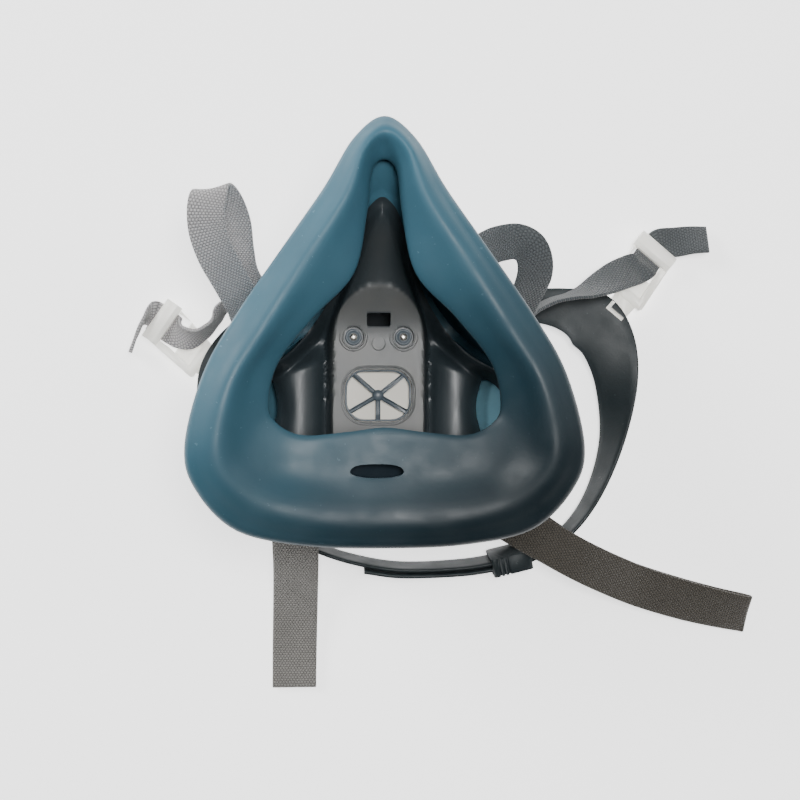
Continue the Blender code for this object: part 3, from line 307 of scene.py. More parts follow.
def band(name, stations, thickness, material, per_span=6, round_over=0.35):
    """A flat band with round edges, and a UV map in metres: across, then along."""
    rows = [tuple(where) + tuple(across) + (width,) for where, across, width in stations]
    curve = smooth_through(rows, per_span)
    half = thickness / 2
    soft = min(round_over, half * 0.98)
    outline = []
    for side in (-1, 1):
        corners = [(-half, -1), (-half + soft * 0.3, -0.3), (-half + soft, 0), (half - soft, 0),
                   (half - soft * 0.3, -0.3), (half, -1)]
        corners = corners if side > 0 else corners[::-1]
        for offset, back in corners:
            outline.append((side, back * soft, offset))
    inner = [(share, 0.0) for share in (0.66, 0.33, 0.0, -0.33, -0.66)]
    points = []
    places = []
    length = 0.0
    for index, row in enumerate(curve):
        ahead = curve[min(index + 1, len(curve) - 1)][:3]
        behind = curve[max(index - 1, 0)][:3]
        along = Vector(ahead - behind).normalized()
        across = Vector(row[3:6])
        across = (across - along * across.dot(along)).normalized()
        normal = along.cross(across)
        middle = Vector(row[:3])
        if index:
            length += float(np.linalg.norm(row[:3] - curve[index - 1][:3]))
        reach = row[6] / 2
        ring = [(side * (reach + back), offset) for side, back, offset in outline[6:]]
        ring += [(share * (reach - soft), half) for share, _ in inner]
        ring += [(side * (reach + back), offset) for side, back, offset in outline[:6]]
        ring += [(-share * (reach - soft), -half) for share, _ in inner]
        for sideways, offset in ring:
            points.append(middle + across * sideways + normal * offset)
            places.append((sideways, length))
    around = len(ring)
    faces = [tuple(range(around))[::-1], tuple(range(len(points) - around, len(points)))]
    for start in range(0, len(points) - around, around):
        for corner in range(around):
            after = (corner + 1) % around
            faces.append((start + corner, start + after, start + around + after,
                          start + around + corner))
    piece = solid(name, points, faces, material)
    chart = piece.data.uv_layers.new(name="weave")
    for loop in piece.data.loops:
        chart.data[loop.index].uv = [value * MM for value in places[loop.vertex_index]]
    smooth(piece, 60)
    return piece


# ---- materials

def start_material(name, colour, roughness, **sockets):
    material = bpy.data.materials.new(name)
    material.use_nodes = True
    shader = material.node_tree.nodes["Principled BSDF"]
    shader.inputs["Base Color"].default_value = (*colour, 1.0)
    shader.inputs["Roughness"].default_value = roughness
    for socket, value in sockets.items():
        shader.inputs[socket.replace("_", " ")].default_value = value
    return material, shader


def node(material, kind, settings=None, **inputs):
    """A new node; an input is a number, a colour or another node's output."""
    made = material.node_tree.nodes.new("ShaderNode" + kind)
    for key, value in (settings or {}).items():
        setattr(made, key, value)
    for key, value in inputs.items():
        numbered = key[0] == "i" and key[1:].isdigit()
        socket = made.inputs[int(key[1:]) if numbered else key.replace("_", " ")]
        if isinstance(value, bpy.types.NodeSocket):
            material.node_tree.links.new(value, socket)
        else:
            socket.default_value = value
    return made


def link(material, output, socket):
    material.node_tree.links.new(output, socket)


def math_node(material, operation, first, second=0.0, clamp=False):
    made = node(material, "Math", {"operation": operation, "use_clamp": clamp}, i0=first, i1=second)
    return made.outputs[0]


def object_place(material):
    return node(material, "TexCoord").outputs["Object"]


def noise(material, scale, detail=4.0, place_by=None):
    made = node(material, "TexNoise", Scale=scale, Detail=detail,
                Vector=place_by or object_place(material))
    return made.outputs["Fac"]


def between(material, share, low, high):
    """A number between low and high by a noise, most of which lies from 0.3 to 0.7."""
    made = node(material, "MapRange", Value=share, From_Min=0.3, From_Max=0.7,
                To_Min=low, To_Max=high)
    return made.outputs[0]


def blend_colours(material, share, first, second):
    made = node(material, "Mix", {"data_type": "RGBA"}, i0=share)
    for socket, value in ((made.inputs[6], first), (made.inputs[7], second)):
        if isinstance(value, bpy.types.NodeSocket):
            link(material, value, socket)
        else:
            socket.default_value = (*value, 1.0)
    return made.outputs[2]


def bumped(material, shader, height, distance, strength=1.0):
    made = node(material, "Bump", Height=height, Distance=distance, Strength=strength)
    link(material, made.outputs[0], shader.inputs["Normal"])


def moulded(name, colour, lighter, roughness, grain=900.0, depth=0.00004, **sockets):
    """Moulded plastic or rubber: cloudy colour, patchy gloss, a fine grain and specks."""
    material, shader = start_material(name, colour, roughness, **sockets)
    cloud = noise(material, 45.0, 5.0)
    shade = blend_colours(material, between(material, cloud, 0.0, 1.0), colour, lighter)
    dust = noise(material, 620.0, 2.0)
    speck = math_node(material, "MULTIPLY", math_node(material, "GREATER_THAN", dust, 0.735), 0.35)
    pale = tuple(min(1.0, value * 1.6 + 0.05) for value in lighter)
    link(material, blend_colours(material, speck, shade, pale), shader.inputs["Base Color"])
    patch = noise(material, 110.0, 6.0)
    link(material, between(material, patch, roughness - 0.07, roughness + 0.08),
         shader.inputs["Roughness"])
    fine = noise(material, grain, 3.0)
    bumped(material, shader, fine, depth)
    return material


def woven(name, dark, light, cell_across, cell_along, slant=0.5):
    """Woven elastic: rows of thread humps, each row shifted by part of a cell."""
    material, shader = start_material(name, light, 0.88, Sheen_Weight=0.25, Sheen_Roughness=0.5)
    chart = node(material, "UVMap", {"uv_map": "weave"}).outputs[0]
    parts = node(material, "SeparateXYZ", Vector=chart)
    across = math_node(material, "DIVIDE", parts.outputs[0], cell_across * MM)
    along = math_node(material, "DIVIDE", parts.outputs[1], cell_along * MM)
    row = math_node(material, "FLOOR", along)
    shifted = math_node(material, "ADD", across, math_node(material, "MULTIPLY", row, slant))
    ridge = math_node(material, "ABSOLUTE", math_node(
        material, "SINE", math_node(material, "MULTIPLY", shifted, math.pi)))
    hump = math_node(material, "ABSOLUTE", math_node(
        material, "SINE", math_node(material, "MULTIPLY", along, math.pi)))
    thread = math_node(material, "MULTIPLY", math_node(material, "POWER", ridge, 0.8),
                       math_node(material, "POWER", hump, 0.6))
    fuzz = noise(material, 2600.0, 3.0)
    wear = noise(material, 90.0, 4.0)
    worn = blend_colours(material, between(material, wear, 0.0, 1.0), light,
                         tuple(value * 0.8 for value in light))
    shade = blend_colours(material, thread, dark, worn)
    fuzzy = blend_colours(material, math_node(material, "MULTIPLY", fuzz, 0.35), shade,
                          tuple(value * 1.25 for value in light))
    link(material, fuzzy, shader.inputs["Base Color"])
    height = math_node(material, "ADD", thread, math_node(material, "MULTIPLY", fuzz, 0.25))
    bumped(material, shader, height, 0.0003)
    return material


def silicone_material():
    """Teal silicone: satin, cloudy and dusty, with painted light and shade: lighter towards the upper
    left and darker towards the chin's right side.
    """
    low, high = (0.024, 0.067, 0.094), (0.028, 0.079, 0.109)
    material = moulded("silicone_fine", low, high, 0.48, 700.0, 0.00003, Specular_IOR_Level=0.36)
    shader = material.node_tree.nodes["Principled BSDF"]
    shade = shader.inputs["Base Color"].links[0].from_socket
    # Painted light and shade: a ramp across the seal brightens the colour up to 1.9 times towards the
    # upper left and darkens it towards the chin's right side.
    slant = node(material, "VectorMath", {"operation": "DOT_PRODUCT"}, i0=object_place(material),
                 i1=(0.7, -0.89, 0.0))
    tone = node(material, "MapRange", {"interpolation_type": "SMOOTHSTEP"},
                Value=slant.outputs["Value"], From_Min=-0.085, From_Max=0.062,
                To_Min=1.9, To_Max=0.15)
    painted_light_toned = node(material, "VectorMath", {"operation": "SCALE"}, i0=shade, Scale=tone.outputs[0])
    link(material, painted_light_toned.outputs[0], shader.inputs["Base Color"])
    return material


def adapter_material():
    """Grey polymer, paler on the flat plate and on a painted highlight along the ridge, with fine
    scratches and a checked texture.
    """
    dark, pale = (0.022, 0.031, 0.036), (0.115, 0.123, 0.125)
    material, shader = start_material("adapter_fine", dark, 0.4, Specular_IOR_Level=0.5)
    plate = node(material, "Attribute", {"attribute_name": "plate"}).outputs["Fac"]
    cloud = noise(material, 60.0, 5.0)
    base = blend_colours(material, plate, dark, pale)
    tone = blend_colours(material, between(material, cloud, 0.0, 0.5), base, (0.150, 0.139, 0.122))
    mottled = blend_colours(material, plate, base, tone)
    link(material, mottled, shader.inputs["Base Color"])
    streak = node(material, "Mapping", Vector=object_place(material), Scale=(1.0, 0.12, 1.0))
    scratch = noise(material, 1500.0, 6.0, streak.outputs[0])
    link(material, between(material, scratch, 0.33, 0.46), shader.inputs["Roughness"])
    check = node(material, "TexChecker", Scale=1400.0, Vector=object_place(material))
    height = math_node(material, "ADD", scratch, math_node(
        material, "MULTIPLY", check.outputs["Fac"], 0.25))
    bumped(material, shader, height, 0.000015)
    return material


def milky_material():
    """Milky nylon: light passes through a little, edges are brighter, and a painted glow (emission)
    lightens it all over.
    """
    # The emission is a painted glow that lightens the buckles.
    return moulded("milky_fine", (0.86, 0.85, 0.79), (0.93, 0.92, 0.86), 0.34, 500.0, 0.00005,
                   Subsurface_Weight=0.4, Subsurface_Scale=0.003,
                   Subsurface_Radius=(1.0, 1.0, 1.0), Transmission_Weight=0.1, IOR=1.45,
                   Emission_Color=(1.0, 0.98, 0.93, 1.0), Emission_Strength=0.3)


def steel_material():
    material, shader = start_material("steel_fine", (0.62, 0.60, 0.54), 0.3, Metallic=1.0)
    ring = noise(material, 900.0, 3.0)
    link(material, between(material, ring, 0.22, 0.42), shader.inputs["Roughness"])
    bumped(material, shader, ring, 0.00003)
    return material


SILICONE = silicone_material()
ADAPTER = adapter_material()
MILKY = milky_material()
STEEL = steel_material()
HOUSING = moulded("housing_fine", (0.045, 0.052, 0.058), (0.058, 0.066, 0.072), 0.42)
SEAT = moulded("seat_fine", (0.062, 0.082, 0.100), (0.075, 0.096, 0.115), 0.36)
FLAP = moulded("flap_fine", (0.72, 0.69, 0.61), (0.78, 0.75, 0.67), 0.55)
PORT_FLAP = moulded("port_flap_fine", (0.200, 0.430, 0.540), (0.230, 0.470, 0.580), 0.38)
# A darker copy of the port flap's colour: painted shade for the left valve disc.
PAINTED_SHADE_FLAP = moulded("painted_shade_flap_fine", (0.060, 0.150, 0.200), (0.070, 0.170, 0.225), 0.38)
# Near black: painted shade seen through the chin slot.
PAINTED_SHADE_POCKET = moulded("pocket_fine", (0.003, 0.009, 0.015), (0.004, 0.012, 0.019), 0.7,
                 Specular_IOR_Level=0.15)
GASKET = moulded("gasket_fine", (0.018, 0.019, 0.020), (0.026, 0.027, 0.028), 0.6)
YOKE = moulded("yoke_fine", (0.110, 0.150, 0.170), (0.130, 0.172, 0.192), 0.4)
CRADLE = moulded("cradle_fine", (0.012, 0.018, 0.020), (0.016, 0.023, 0.026), 0.5, 1200.0,
                 Specular_IOR_Level=0.35)
# Paler grey: a painted highlight for the edges of the cradle's tips.
PAINTED_EDGE_HIGHLIGHT = moulded("cradle_edge_highlight", (0.16, 0.18, 0.19), (0.20, 0.22, 0.23), 0.4, 1200.0)
GREY_WEB = woven("web_grey", (0.060, 0.058, 0.062), (0.480, 0.468, 0.468), 1.15, 0.9)
# A darker copy of the grey webbing: painted shade on the right upper strap.
SHADED_GREY_WEB = woven("web_grey_shaded", (0.022, 0.025, 0.028), (0.090, 0.100, 0.104), 1.15, 0.9)
PALE_WEB = woven("web_pale", (0.060, 0.056, 0.052), (0.250, 0.240, 0.222), 1.1, 0.85)
# A darker, browner copy of the pale webbing: painted shade on the right lower strap.
SHADED_PALE_WEB = woven("web_pale_shaded", (0.010, 0.009, 0.007), (0.085, 0.074, 0.058), 1.1, 0.85)


# ---- the mask body

def base_height(y):
    """Height of the seal's foot, which rises to the nose."""
    return along_table(BASE_RISE, y)


def face_seal():
    """Lofted cup with its wall, rounded mouth edge and the slot in the chin flap."""
    base = [point + (base_height(point[1]),) for point in mirrored(BASE)]
    across = []
    for foot, out, top, middle, inner in zip(base, *map(mirrored, (RIM, RIDGE, SLOPE, MOUTH))):
        foot, out, top, middle, inner = (
            np.array(value, float) for value in (foot, out, top, middle, inner))
        flank = foot + (out - foot) * np.array([0.42, 0.42, 0.5])
        shoulder = out * 0.62 + top * 0.38 + np.array([0, 0, SHOULDER_RISE])
        outward = (middle - inner) * np.array([1, 1, 0])
        roll = inner + outward / np.linalg.norm(outward) * 1.2 - np.array([0, 0, MOUTH_ROLL])
        across.append(smooth_through([foot, flank, out, shoulder, top, middle, inner, roll], 5))
    lines = [smooth_through(line, 7, closed=True) for line in zip(*across)]
    lip = inset([point[:2] for point in lines[0]], 4.2)
    lines.insert(0, [np.array([*edge, base_height(edge[1])]) for edge in lip])
    around = len(lines[0])
    points = [point for line in lines for point in line]
    faces = []
    for line in range(len(lines) - 1):
        for step in range(around):
            after = (step + 1) % around
            faces.append((line * around + step, (line + 1) * around + step,
                          (line + 1) * around + after, line * around + after))
    mesh = bpy.data.meshes.new("face_seal_skin")
    mesh.from_pydata([Vector(point) * MM for point in points], [], faces)
    piece = bpy.data.objects.new("face_seal_skin", mesh)
    piece.data.materials.append(SILICONE)
    bpy.context.scene.collection.objects.link(piece)
    wall = piece.modifiers.new("wall", "SOLIDIFY")
    wall.thickness = SEAL_WALL * MM
    wall.offset = -1.0
    settle(piece)
    half, tall = CHIN_SLOT[0] / 2, CHIN_SLOT[1]
    for vertex in piece.data.vertices:
        x, y, z = vertex.co / MM
        gap = math.hypot((x - CHIN_SLOT_X) / (half + 1.5), (y - CHIN_SLOT_Y) / (tall / 2 + 1.3)) - 1.0
        if z > 60 and abs(gap) < 0.55:
            vertex.co.z += 0.35 * MM * (1 - (gap / 0.55) ** 2)
    outline = []
    for step in range(48):
        angle = 2 * math.pi * step / 48
        x, y = math.cos(angle), math.sin(angle)
        x = math.copysign(abs(x) ** 0.8, x)
        top = 1.15 if y > 0 else 0.75
        sag = -0.22 * (1 - x * x) if y > 0 else 0.0
        outline.append((CHIN_SLOT_X + half * x, CHIN_SLOT_Y + tall / 2 * (y * top + sag)))
    cut(piece, prism("slot", outline, 62, 95, SILICONE))
    grown = [(CHIN_SLOT_X + 1.3 * (x - CHIN_SLOT_X), CHIN_SLOT_Y + 1.7 * (y - CHIN_SLOT_Y))
             for x, y in outline]
    hollow = [(CHIN_SLOT_X + 1.1 * (x - CHIN_SLOT_X), CHIN_SLOT_Y + 1.3 * (y - CHIN_SLOT_Y))
              for x, y in outline]
    # A near-black box under the chin slot paints the shade seen through it.
    shade_pocket = prism("slot_pocket", grown, 69.0, 75.6, PAINTED_SHADE_POCKET)
    cut(shade_pocket, prism("hollow", hollow, 70.0, 80.0, PAINTED_SHADE_POCKET))
    smooth(shade_pocket)
    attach(shade_pocket, "mask")
    smooth(piece, 50)
    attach(piece, "mask")
    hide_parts("face_seal")


def plate_half(y):
    """Half width of the adapter's middle plate."""
    return softly(PLATE_HALF_WIDTH, y)


def panel_depth(x, y):
    """How far inside the plate's arched panel a place is, in mm; negative outside."""
    if y < PANEL_SHOULDER:
        return PANEL_HALF - abs(x)
    across = abs(x) / PANEL_HALF
    up = (y - PANEL_SHOULDER) / (PANEL_TOP - PANEL_SHOULDER)
    return (1.0 - math.hypot(across, up)) * PANEL_HALF


def adapter_surface(x, y, edge):
    """Height of the adapter's face side, and how much of it has the pale plate colour: the flat
    plate, and a painted highlight along the ridge's middle.
    """
    x = abs(x)
    rim = softly(BASE_RISE, y, 2.0) + 1.4 * SEAL_WALL + CLEARANCE + ADAPTER_WALL
    half = plate_half(y)
    plate = softly(PLATE_HEIGHT, y, 5.0) - 1.1 * ease(half * 0.35, half + 0.3, x) * ease(20, 40, y)
    waist = 7.8 + 4.2 * ((y - PORT_CENTRE.y) / 11.0) ** 2
    reach = SADDLE_INNER_HALF if x < SADDLE_X else min(SADDLE_OUTER_HALF, waist)
    bulge = max(0.0, 1.0 - ((x - SADDLE_X) / reach) ** 2) ** 0.5
    saddle = SADDLE_FOOT + SADDLE_RISE * bulge * (1.0 - ease(11.0, 21.0, y + 0.3 * (x - 17)))
    port = PORT_CENTRE.z - (x - PORT_CENTRE.x) * PORT_AXIS.x / PORT_AXIS.z
    side = saddle
    if x > SADDLE_X:
        side = max(saddle, port) + 0.6 * math.exp(-((saddle - port) / 1.6) ** 2)
    side += (rim - side) * ease(14.0, 30.0, y)
    flat = 1.0 - ease(half - 0.6, half + 2.4, x)
    inner = side + (plate - side) * flat
    panel = panel_depth(x, y)
    inner += 0.7 * ease(-0.3, 0.5, panel) - 0.3
    inner += 0.5 * math.exp(-(x / 2.6) ** 2) * ease(30, 40, y)
    level = rim + (inner - rim) * ease(0.0, 5.0, edge)
    bright = ease(-0.3, 0.8, panel) * (0.72 + 0.28 * (1.0 - ease(12.0, 30.0, y)))
    # Painted highlight: a pale strip along the ridge's middle, above the panel.
    ridge = 0.22 * math.exp(-(x / 4.5) ** 2) * (1.0 - ease(50.0, 60.0, y))
    return level, max(bright, ridge) * ease(0.0, 4.0, edge)


def stand_in_port(piece, side):
    """Moves a piece to a port, with its Z along the port's axis."""
    outward = Vector((side * PORT_AXIS.x, 0, PORT_AXIS.z))
    origin = (side * PORT_CENTRE.x, PORT_CENTRE.y, PORT_CENTRE.z)
    return place(piece, origin, Vector((0, 1, 0)).cross(outward), outward)


def center_adapter():
    """The hard inner plate as a fine shell with its cut-outs, screw wells and bosses."""
    contour = smooth_through(mirrored(BASE), 6, closed=True)
    near = inset(contour, 3.0)
    far = inset(contour, 4.5)
    contour = [n + (f - n) * (1.0 - ease(15.0, 40.0, f[1])) for n, f in zip(near, far)]
    right = sorted((point[1], point[0]) for point in contour if point[0] >= 0)
    low, high = right[0][0], right[-1][0]
    rows, columns = 120, 110
    grid = []
    plate_shares_with_highlight = []
    for row in range(rows + 1):
        share = 0.5 - 0.5 * math.cos(math.pi * (0.03 + 0.94 * row / rows))
        y = low + (high - low) * share
        reach = along_table(right, y)
        for column in range(columns + 1):
            x = reach * (2.0 * column / columns - 1.0)
            level, flat = adapter_surface(x, y, edge_distance(contour, x, y))
            grid.append((x, y, level))
            plate_shares_with_highlight.append(flat)
    wide = columns + 1
    count = len(grid)
    points = grid + [(x, y, z - ADAPTER_WALL) for x, y, z in grid]
    faces = []
    for row in range(rows):
        for column in range(columns):
            corner = row * wide + column
            faces.append((corner, corner + 1, corner + wide + 1, corner + wide))
            faces.append((count + corner + wide, count + corner + wide + 1,
                          count + corner + 1, count + corner))
    border = list(range(columns)) + [row * wide + columns for row in range(rows)]
    border += [rows * wide + column for column in range(columns, 0, -1)]
    border += [row * wide for row in range(rows, 0, -1)]
    for first, second in zip(border, border[1:] + border[:1]):
        faces.append((first, count + first, count + second, second))
    piece = solid("adapter_shell", points, faces, ADAPTER)
    # The plate attribute holds the pale plate colour and the painted highlight along the ridge.
    shade = piece.data.attributes.new("plate", "FLOAT", "POINT")
    for index, value in enumerate(plate_shares_with_highlight + plate_shares_with_highlight):
        shade.data[index].value = value
    cut(piece, prism("window", rounded(*WINDOW, 7.0), 20, 60, ADAPTER), solver="MANIFOLD")
    cut(piece, prism("slot", [(x, y + 25.6) for x, y in rounded(8.0, 4.4, 0.5, 2)], 20, 60,
                     ADAPTER), solver="MANIFOLD")
    top = along_table(PLATE_HEIGHT, SCREWS[0][1])
    for x, y in SCREWS:
        well = turned("well", [(0, top - 1.5), (3.5, top - 1.5), (3.7, top + 5), (0, top + 5)],
                      ADAPTER, 40)
        bore = rod("bore", 1.7, 20, top + 5, ADAPTER, 24)
        boss = rod("boss", 4.9, top - ADAPTER_WALL - 1.6, top - 0.8, ADAPTER, 40)
        join(piece, place(boss, (x, y, 0)), solver="MANIFOLD")
        cut(piece, place(well, (x, y, 0)), place(bore, (x, y, 0)), solver="MANIFOLD")
    for side in (-1, 1):
        hole = rod("hole", PORT_TUBE + CLEARANCE, -2.5, 4, ADAPTER, 64)
        cut(piece, stand_in_port(hole, side), solver="MANIFOLD")
    smooth(piece, 40)
    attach(piece, "mask")
    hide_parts("center_adapter")


def plate_level(x, y):
    """Height of the adapter well inside its edge."""
    return adapter_surface(x, y, 20.0)[0]


def adapter_marks():
    """Moulded rings round the wells, a round gate mark and a lip round the window."""
    for number, (x, y) in enumerate(SCREWS + [(0.0, 17.6)]):
        top = plate_level(x, y)
        radii = ((3.75, 0.32), (4.7, 0.2)) if number < 2 else ((2.3, 0.16),)
        for turn, (radius, thick) in enumerate(radii):
            profile = [(radius - thick, top - 0.3), (radius - thick, top + thick * 0.4),
                       (radius - thick * 0.3, top + thick), (radius + thick * 0.3, top + thick),
                       (radius + thick, top + thick * 0.3), (radius + thick, top - 0.3)]
            ring = turned("ring_%d_%d" % (number, turn), profile, ADAPTER, 64)
            place(ring, (x, y, 0))
            smooth(ring, 60)
            paint_plate(ring, 0.9)
            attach(ring, "mask")
    lip = frame_ring("window_lip", rounded(WINDOW[0] + 2.2, WINDOW[1] + 2.2, 8.1, 10),
                     rounded(WINDOW[0] + 0.7, WINDOW[1] + 0.7, 7.3, 10), ADAPTER)
    for vertex in lip.data.vertices:
        x, y, _ = vertex.co / MM
        vertex.co.z += plate_level(0, y) * MM
    round_edges(lip, 0.12)
    paint_plate(lip, 0.75)
    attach(lip, "mask")


def paint_plate(piece, share):
    """How much of the adapter's pale plate colour the piece has."""
    shade = piece.data.attributes.new("plate", "FLOAT", "POINT")
    for item in shade.data:
        item.value = share


def frame_ring(name, outer, inner, material, low=-0.3, high=0.3):
    """A flat ring between two outlines with the same number of points."""
    count = len(outer)
    points = [(x, y, z) for z in (low, high) for line in (outer, inner) for x, y in line]
    faces = []
    for step in range(count):
        after = (step + 1) % count
        rings = [level * 2 * count + line * count for level, line in
                 ((0, 0), (1, 0), (1, 1), (0, 1))]
        for first, second in zip(rings, rings[1:] + rings[:1]):
            faces.append((first + step, first + after, second + after, second + step))
    return solid(name, points, faces, material)


def exhalation_seat():
    """Rim and five ribbed spokes: each spoke has two edges and a groove between."""
    width, height = WINDOW[0] - 0.6, WINDOW[1] - 0.6
    low, high = 34.8, 37.2
    piece = frame_ring("seat_frame", rounded(width, height, 6.7, 10),
                       rounded(width - 1.3, height - 1.3, 6.05, 10), SEAT, low, high)
    for degrees in (38, 139, 210, 270, 330):
        turn = math.radians(degrees)
        reach = (width / 2 - 0.6) / max(abs(math.cos(turn)), abs(math.sin(turn)) * width / height)
        reach = min(reach, height / 2 + 1.8)
        spoke = box("spoke", (0, -0.75, low + 0.2), (reach + 0.5, 0.75, high - 0.3), SEAT)
        groove = box("groove", (1.2, -0.28, high - 1.1), (reach + 1, 0.28, high + 1), SEAT)
        cut(spoke, groove)
        join(piece, place(spoke, (0, 0, 0), (math.cos(turn), math.sin(turn), 0)))
    hub = turned("hub", [(0, low + 0.1), (1.9, low + 0.1), (1.9, high - 0.4), (1.3, high),
                         (0, high + 0.1)], SEAT, 32)
    join(piece, hub)
    round_edges(piece, 0.14)
    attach(piece, "mask")
    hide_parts("exhalation_seat")


def inhalation_valve(label, side):
    """Thin domed disc with a rolled edge behind the adapter's port hole."""
    profile = [(0, 2.0), (7.5, 2.15), (9.8, 2.3), (10.5, 2.6), (10.5, 2.9), (10.1, 3.1), (0, 3.1)]
    # The left disc gets the darker copy of the flap colour, painted shade.
    piece = turned("valve_disc_" + label, profile, PORT_FLAP if side > 0 else PAINTED_SHADE_FLAP, 72)
    stand_in_port(piece, side)
    smooth(piece)
    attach(piece, "inhalation_flap_" + label)
    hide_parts("inhalation_valve_" + label)


def adapter_screws():
    """Screw heads with a rounded rim, a dished face and a pale centre."""
    seat = along_table(PLATE_HEIGHT, SCREWS[0][1]) - 1.5 + CLEARANCE
    for label, (x, y) in zip(("left", "right"), SCREWS):
        profile = [(0, 14), (0.8, 14), (1.4, 15), (1.4, seat), (2.75, seat), (2.8, seat + 0.5),
                   (2.6, seat + 0.75), (2.2, seat + 0.8), (1.9, seat + 0.55), (1.45, seat + 0.5),
                   (1.35, seat + 0.15), (0, seat + 0.1)]
        piece = turned("screw_head_" + label, profile, SEAT, 48)
        place(piece, (x, y, 0))
        smooth(piece, 50)
        core = turned("screw_core_" + label, [(0, seat), (1.25, seat), (1.25, seat + 0.75),
                                              (1.0, seat + 0.95), (0, seat + 1.0)], STEEL, 32)
        place(core, (x, y, 0))
        smooth(core, 50)
        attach(piece, "mask")
        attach(core, "mask")
        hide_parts("adapter_screw_" + label)


# ---- harness


def wrap(middle, onward, across, width, tail_length=7.0):
    """Stations of a strap end: a short tail below a bar, round it and off over the top."""
    radius = WRAP_RADIUS
    normal = across.cross(onward).normalized()
    if normal.z < 0:
        normal = -normal
    back = 0.70 * radius
    return [(middle + onward * tail_length - normal * radius, across, width),
            (middle + onward * tail_length / 2 - normal * radius, across, width),
            (middle - normal * radius, across, width),
            (middle - onward * back - normal * back, across, width),
            (middle - onward * radius, across, width),
            (middle - onward * back + normal * back, across, width),
            (middle + normal * radius, across, width)]


def buckle_frame(side):
    """A buckle's pin, its sideways direction and its outward direction."""
    pin = RIGHT_PIN if side > 0 else LEFT_PIN
    outward = Vector((*(RIGHT_OUTWARD if side > 0 else LEFT_OUTWARD), 0)).normalized()
    return Vector((*pin, BUCKLE_Z)), Vector((outward.y, -outward.x, 0)), outward


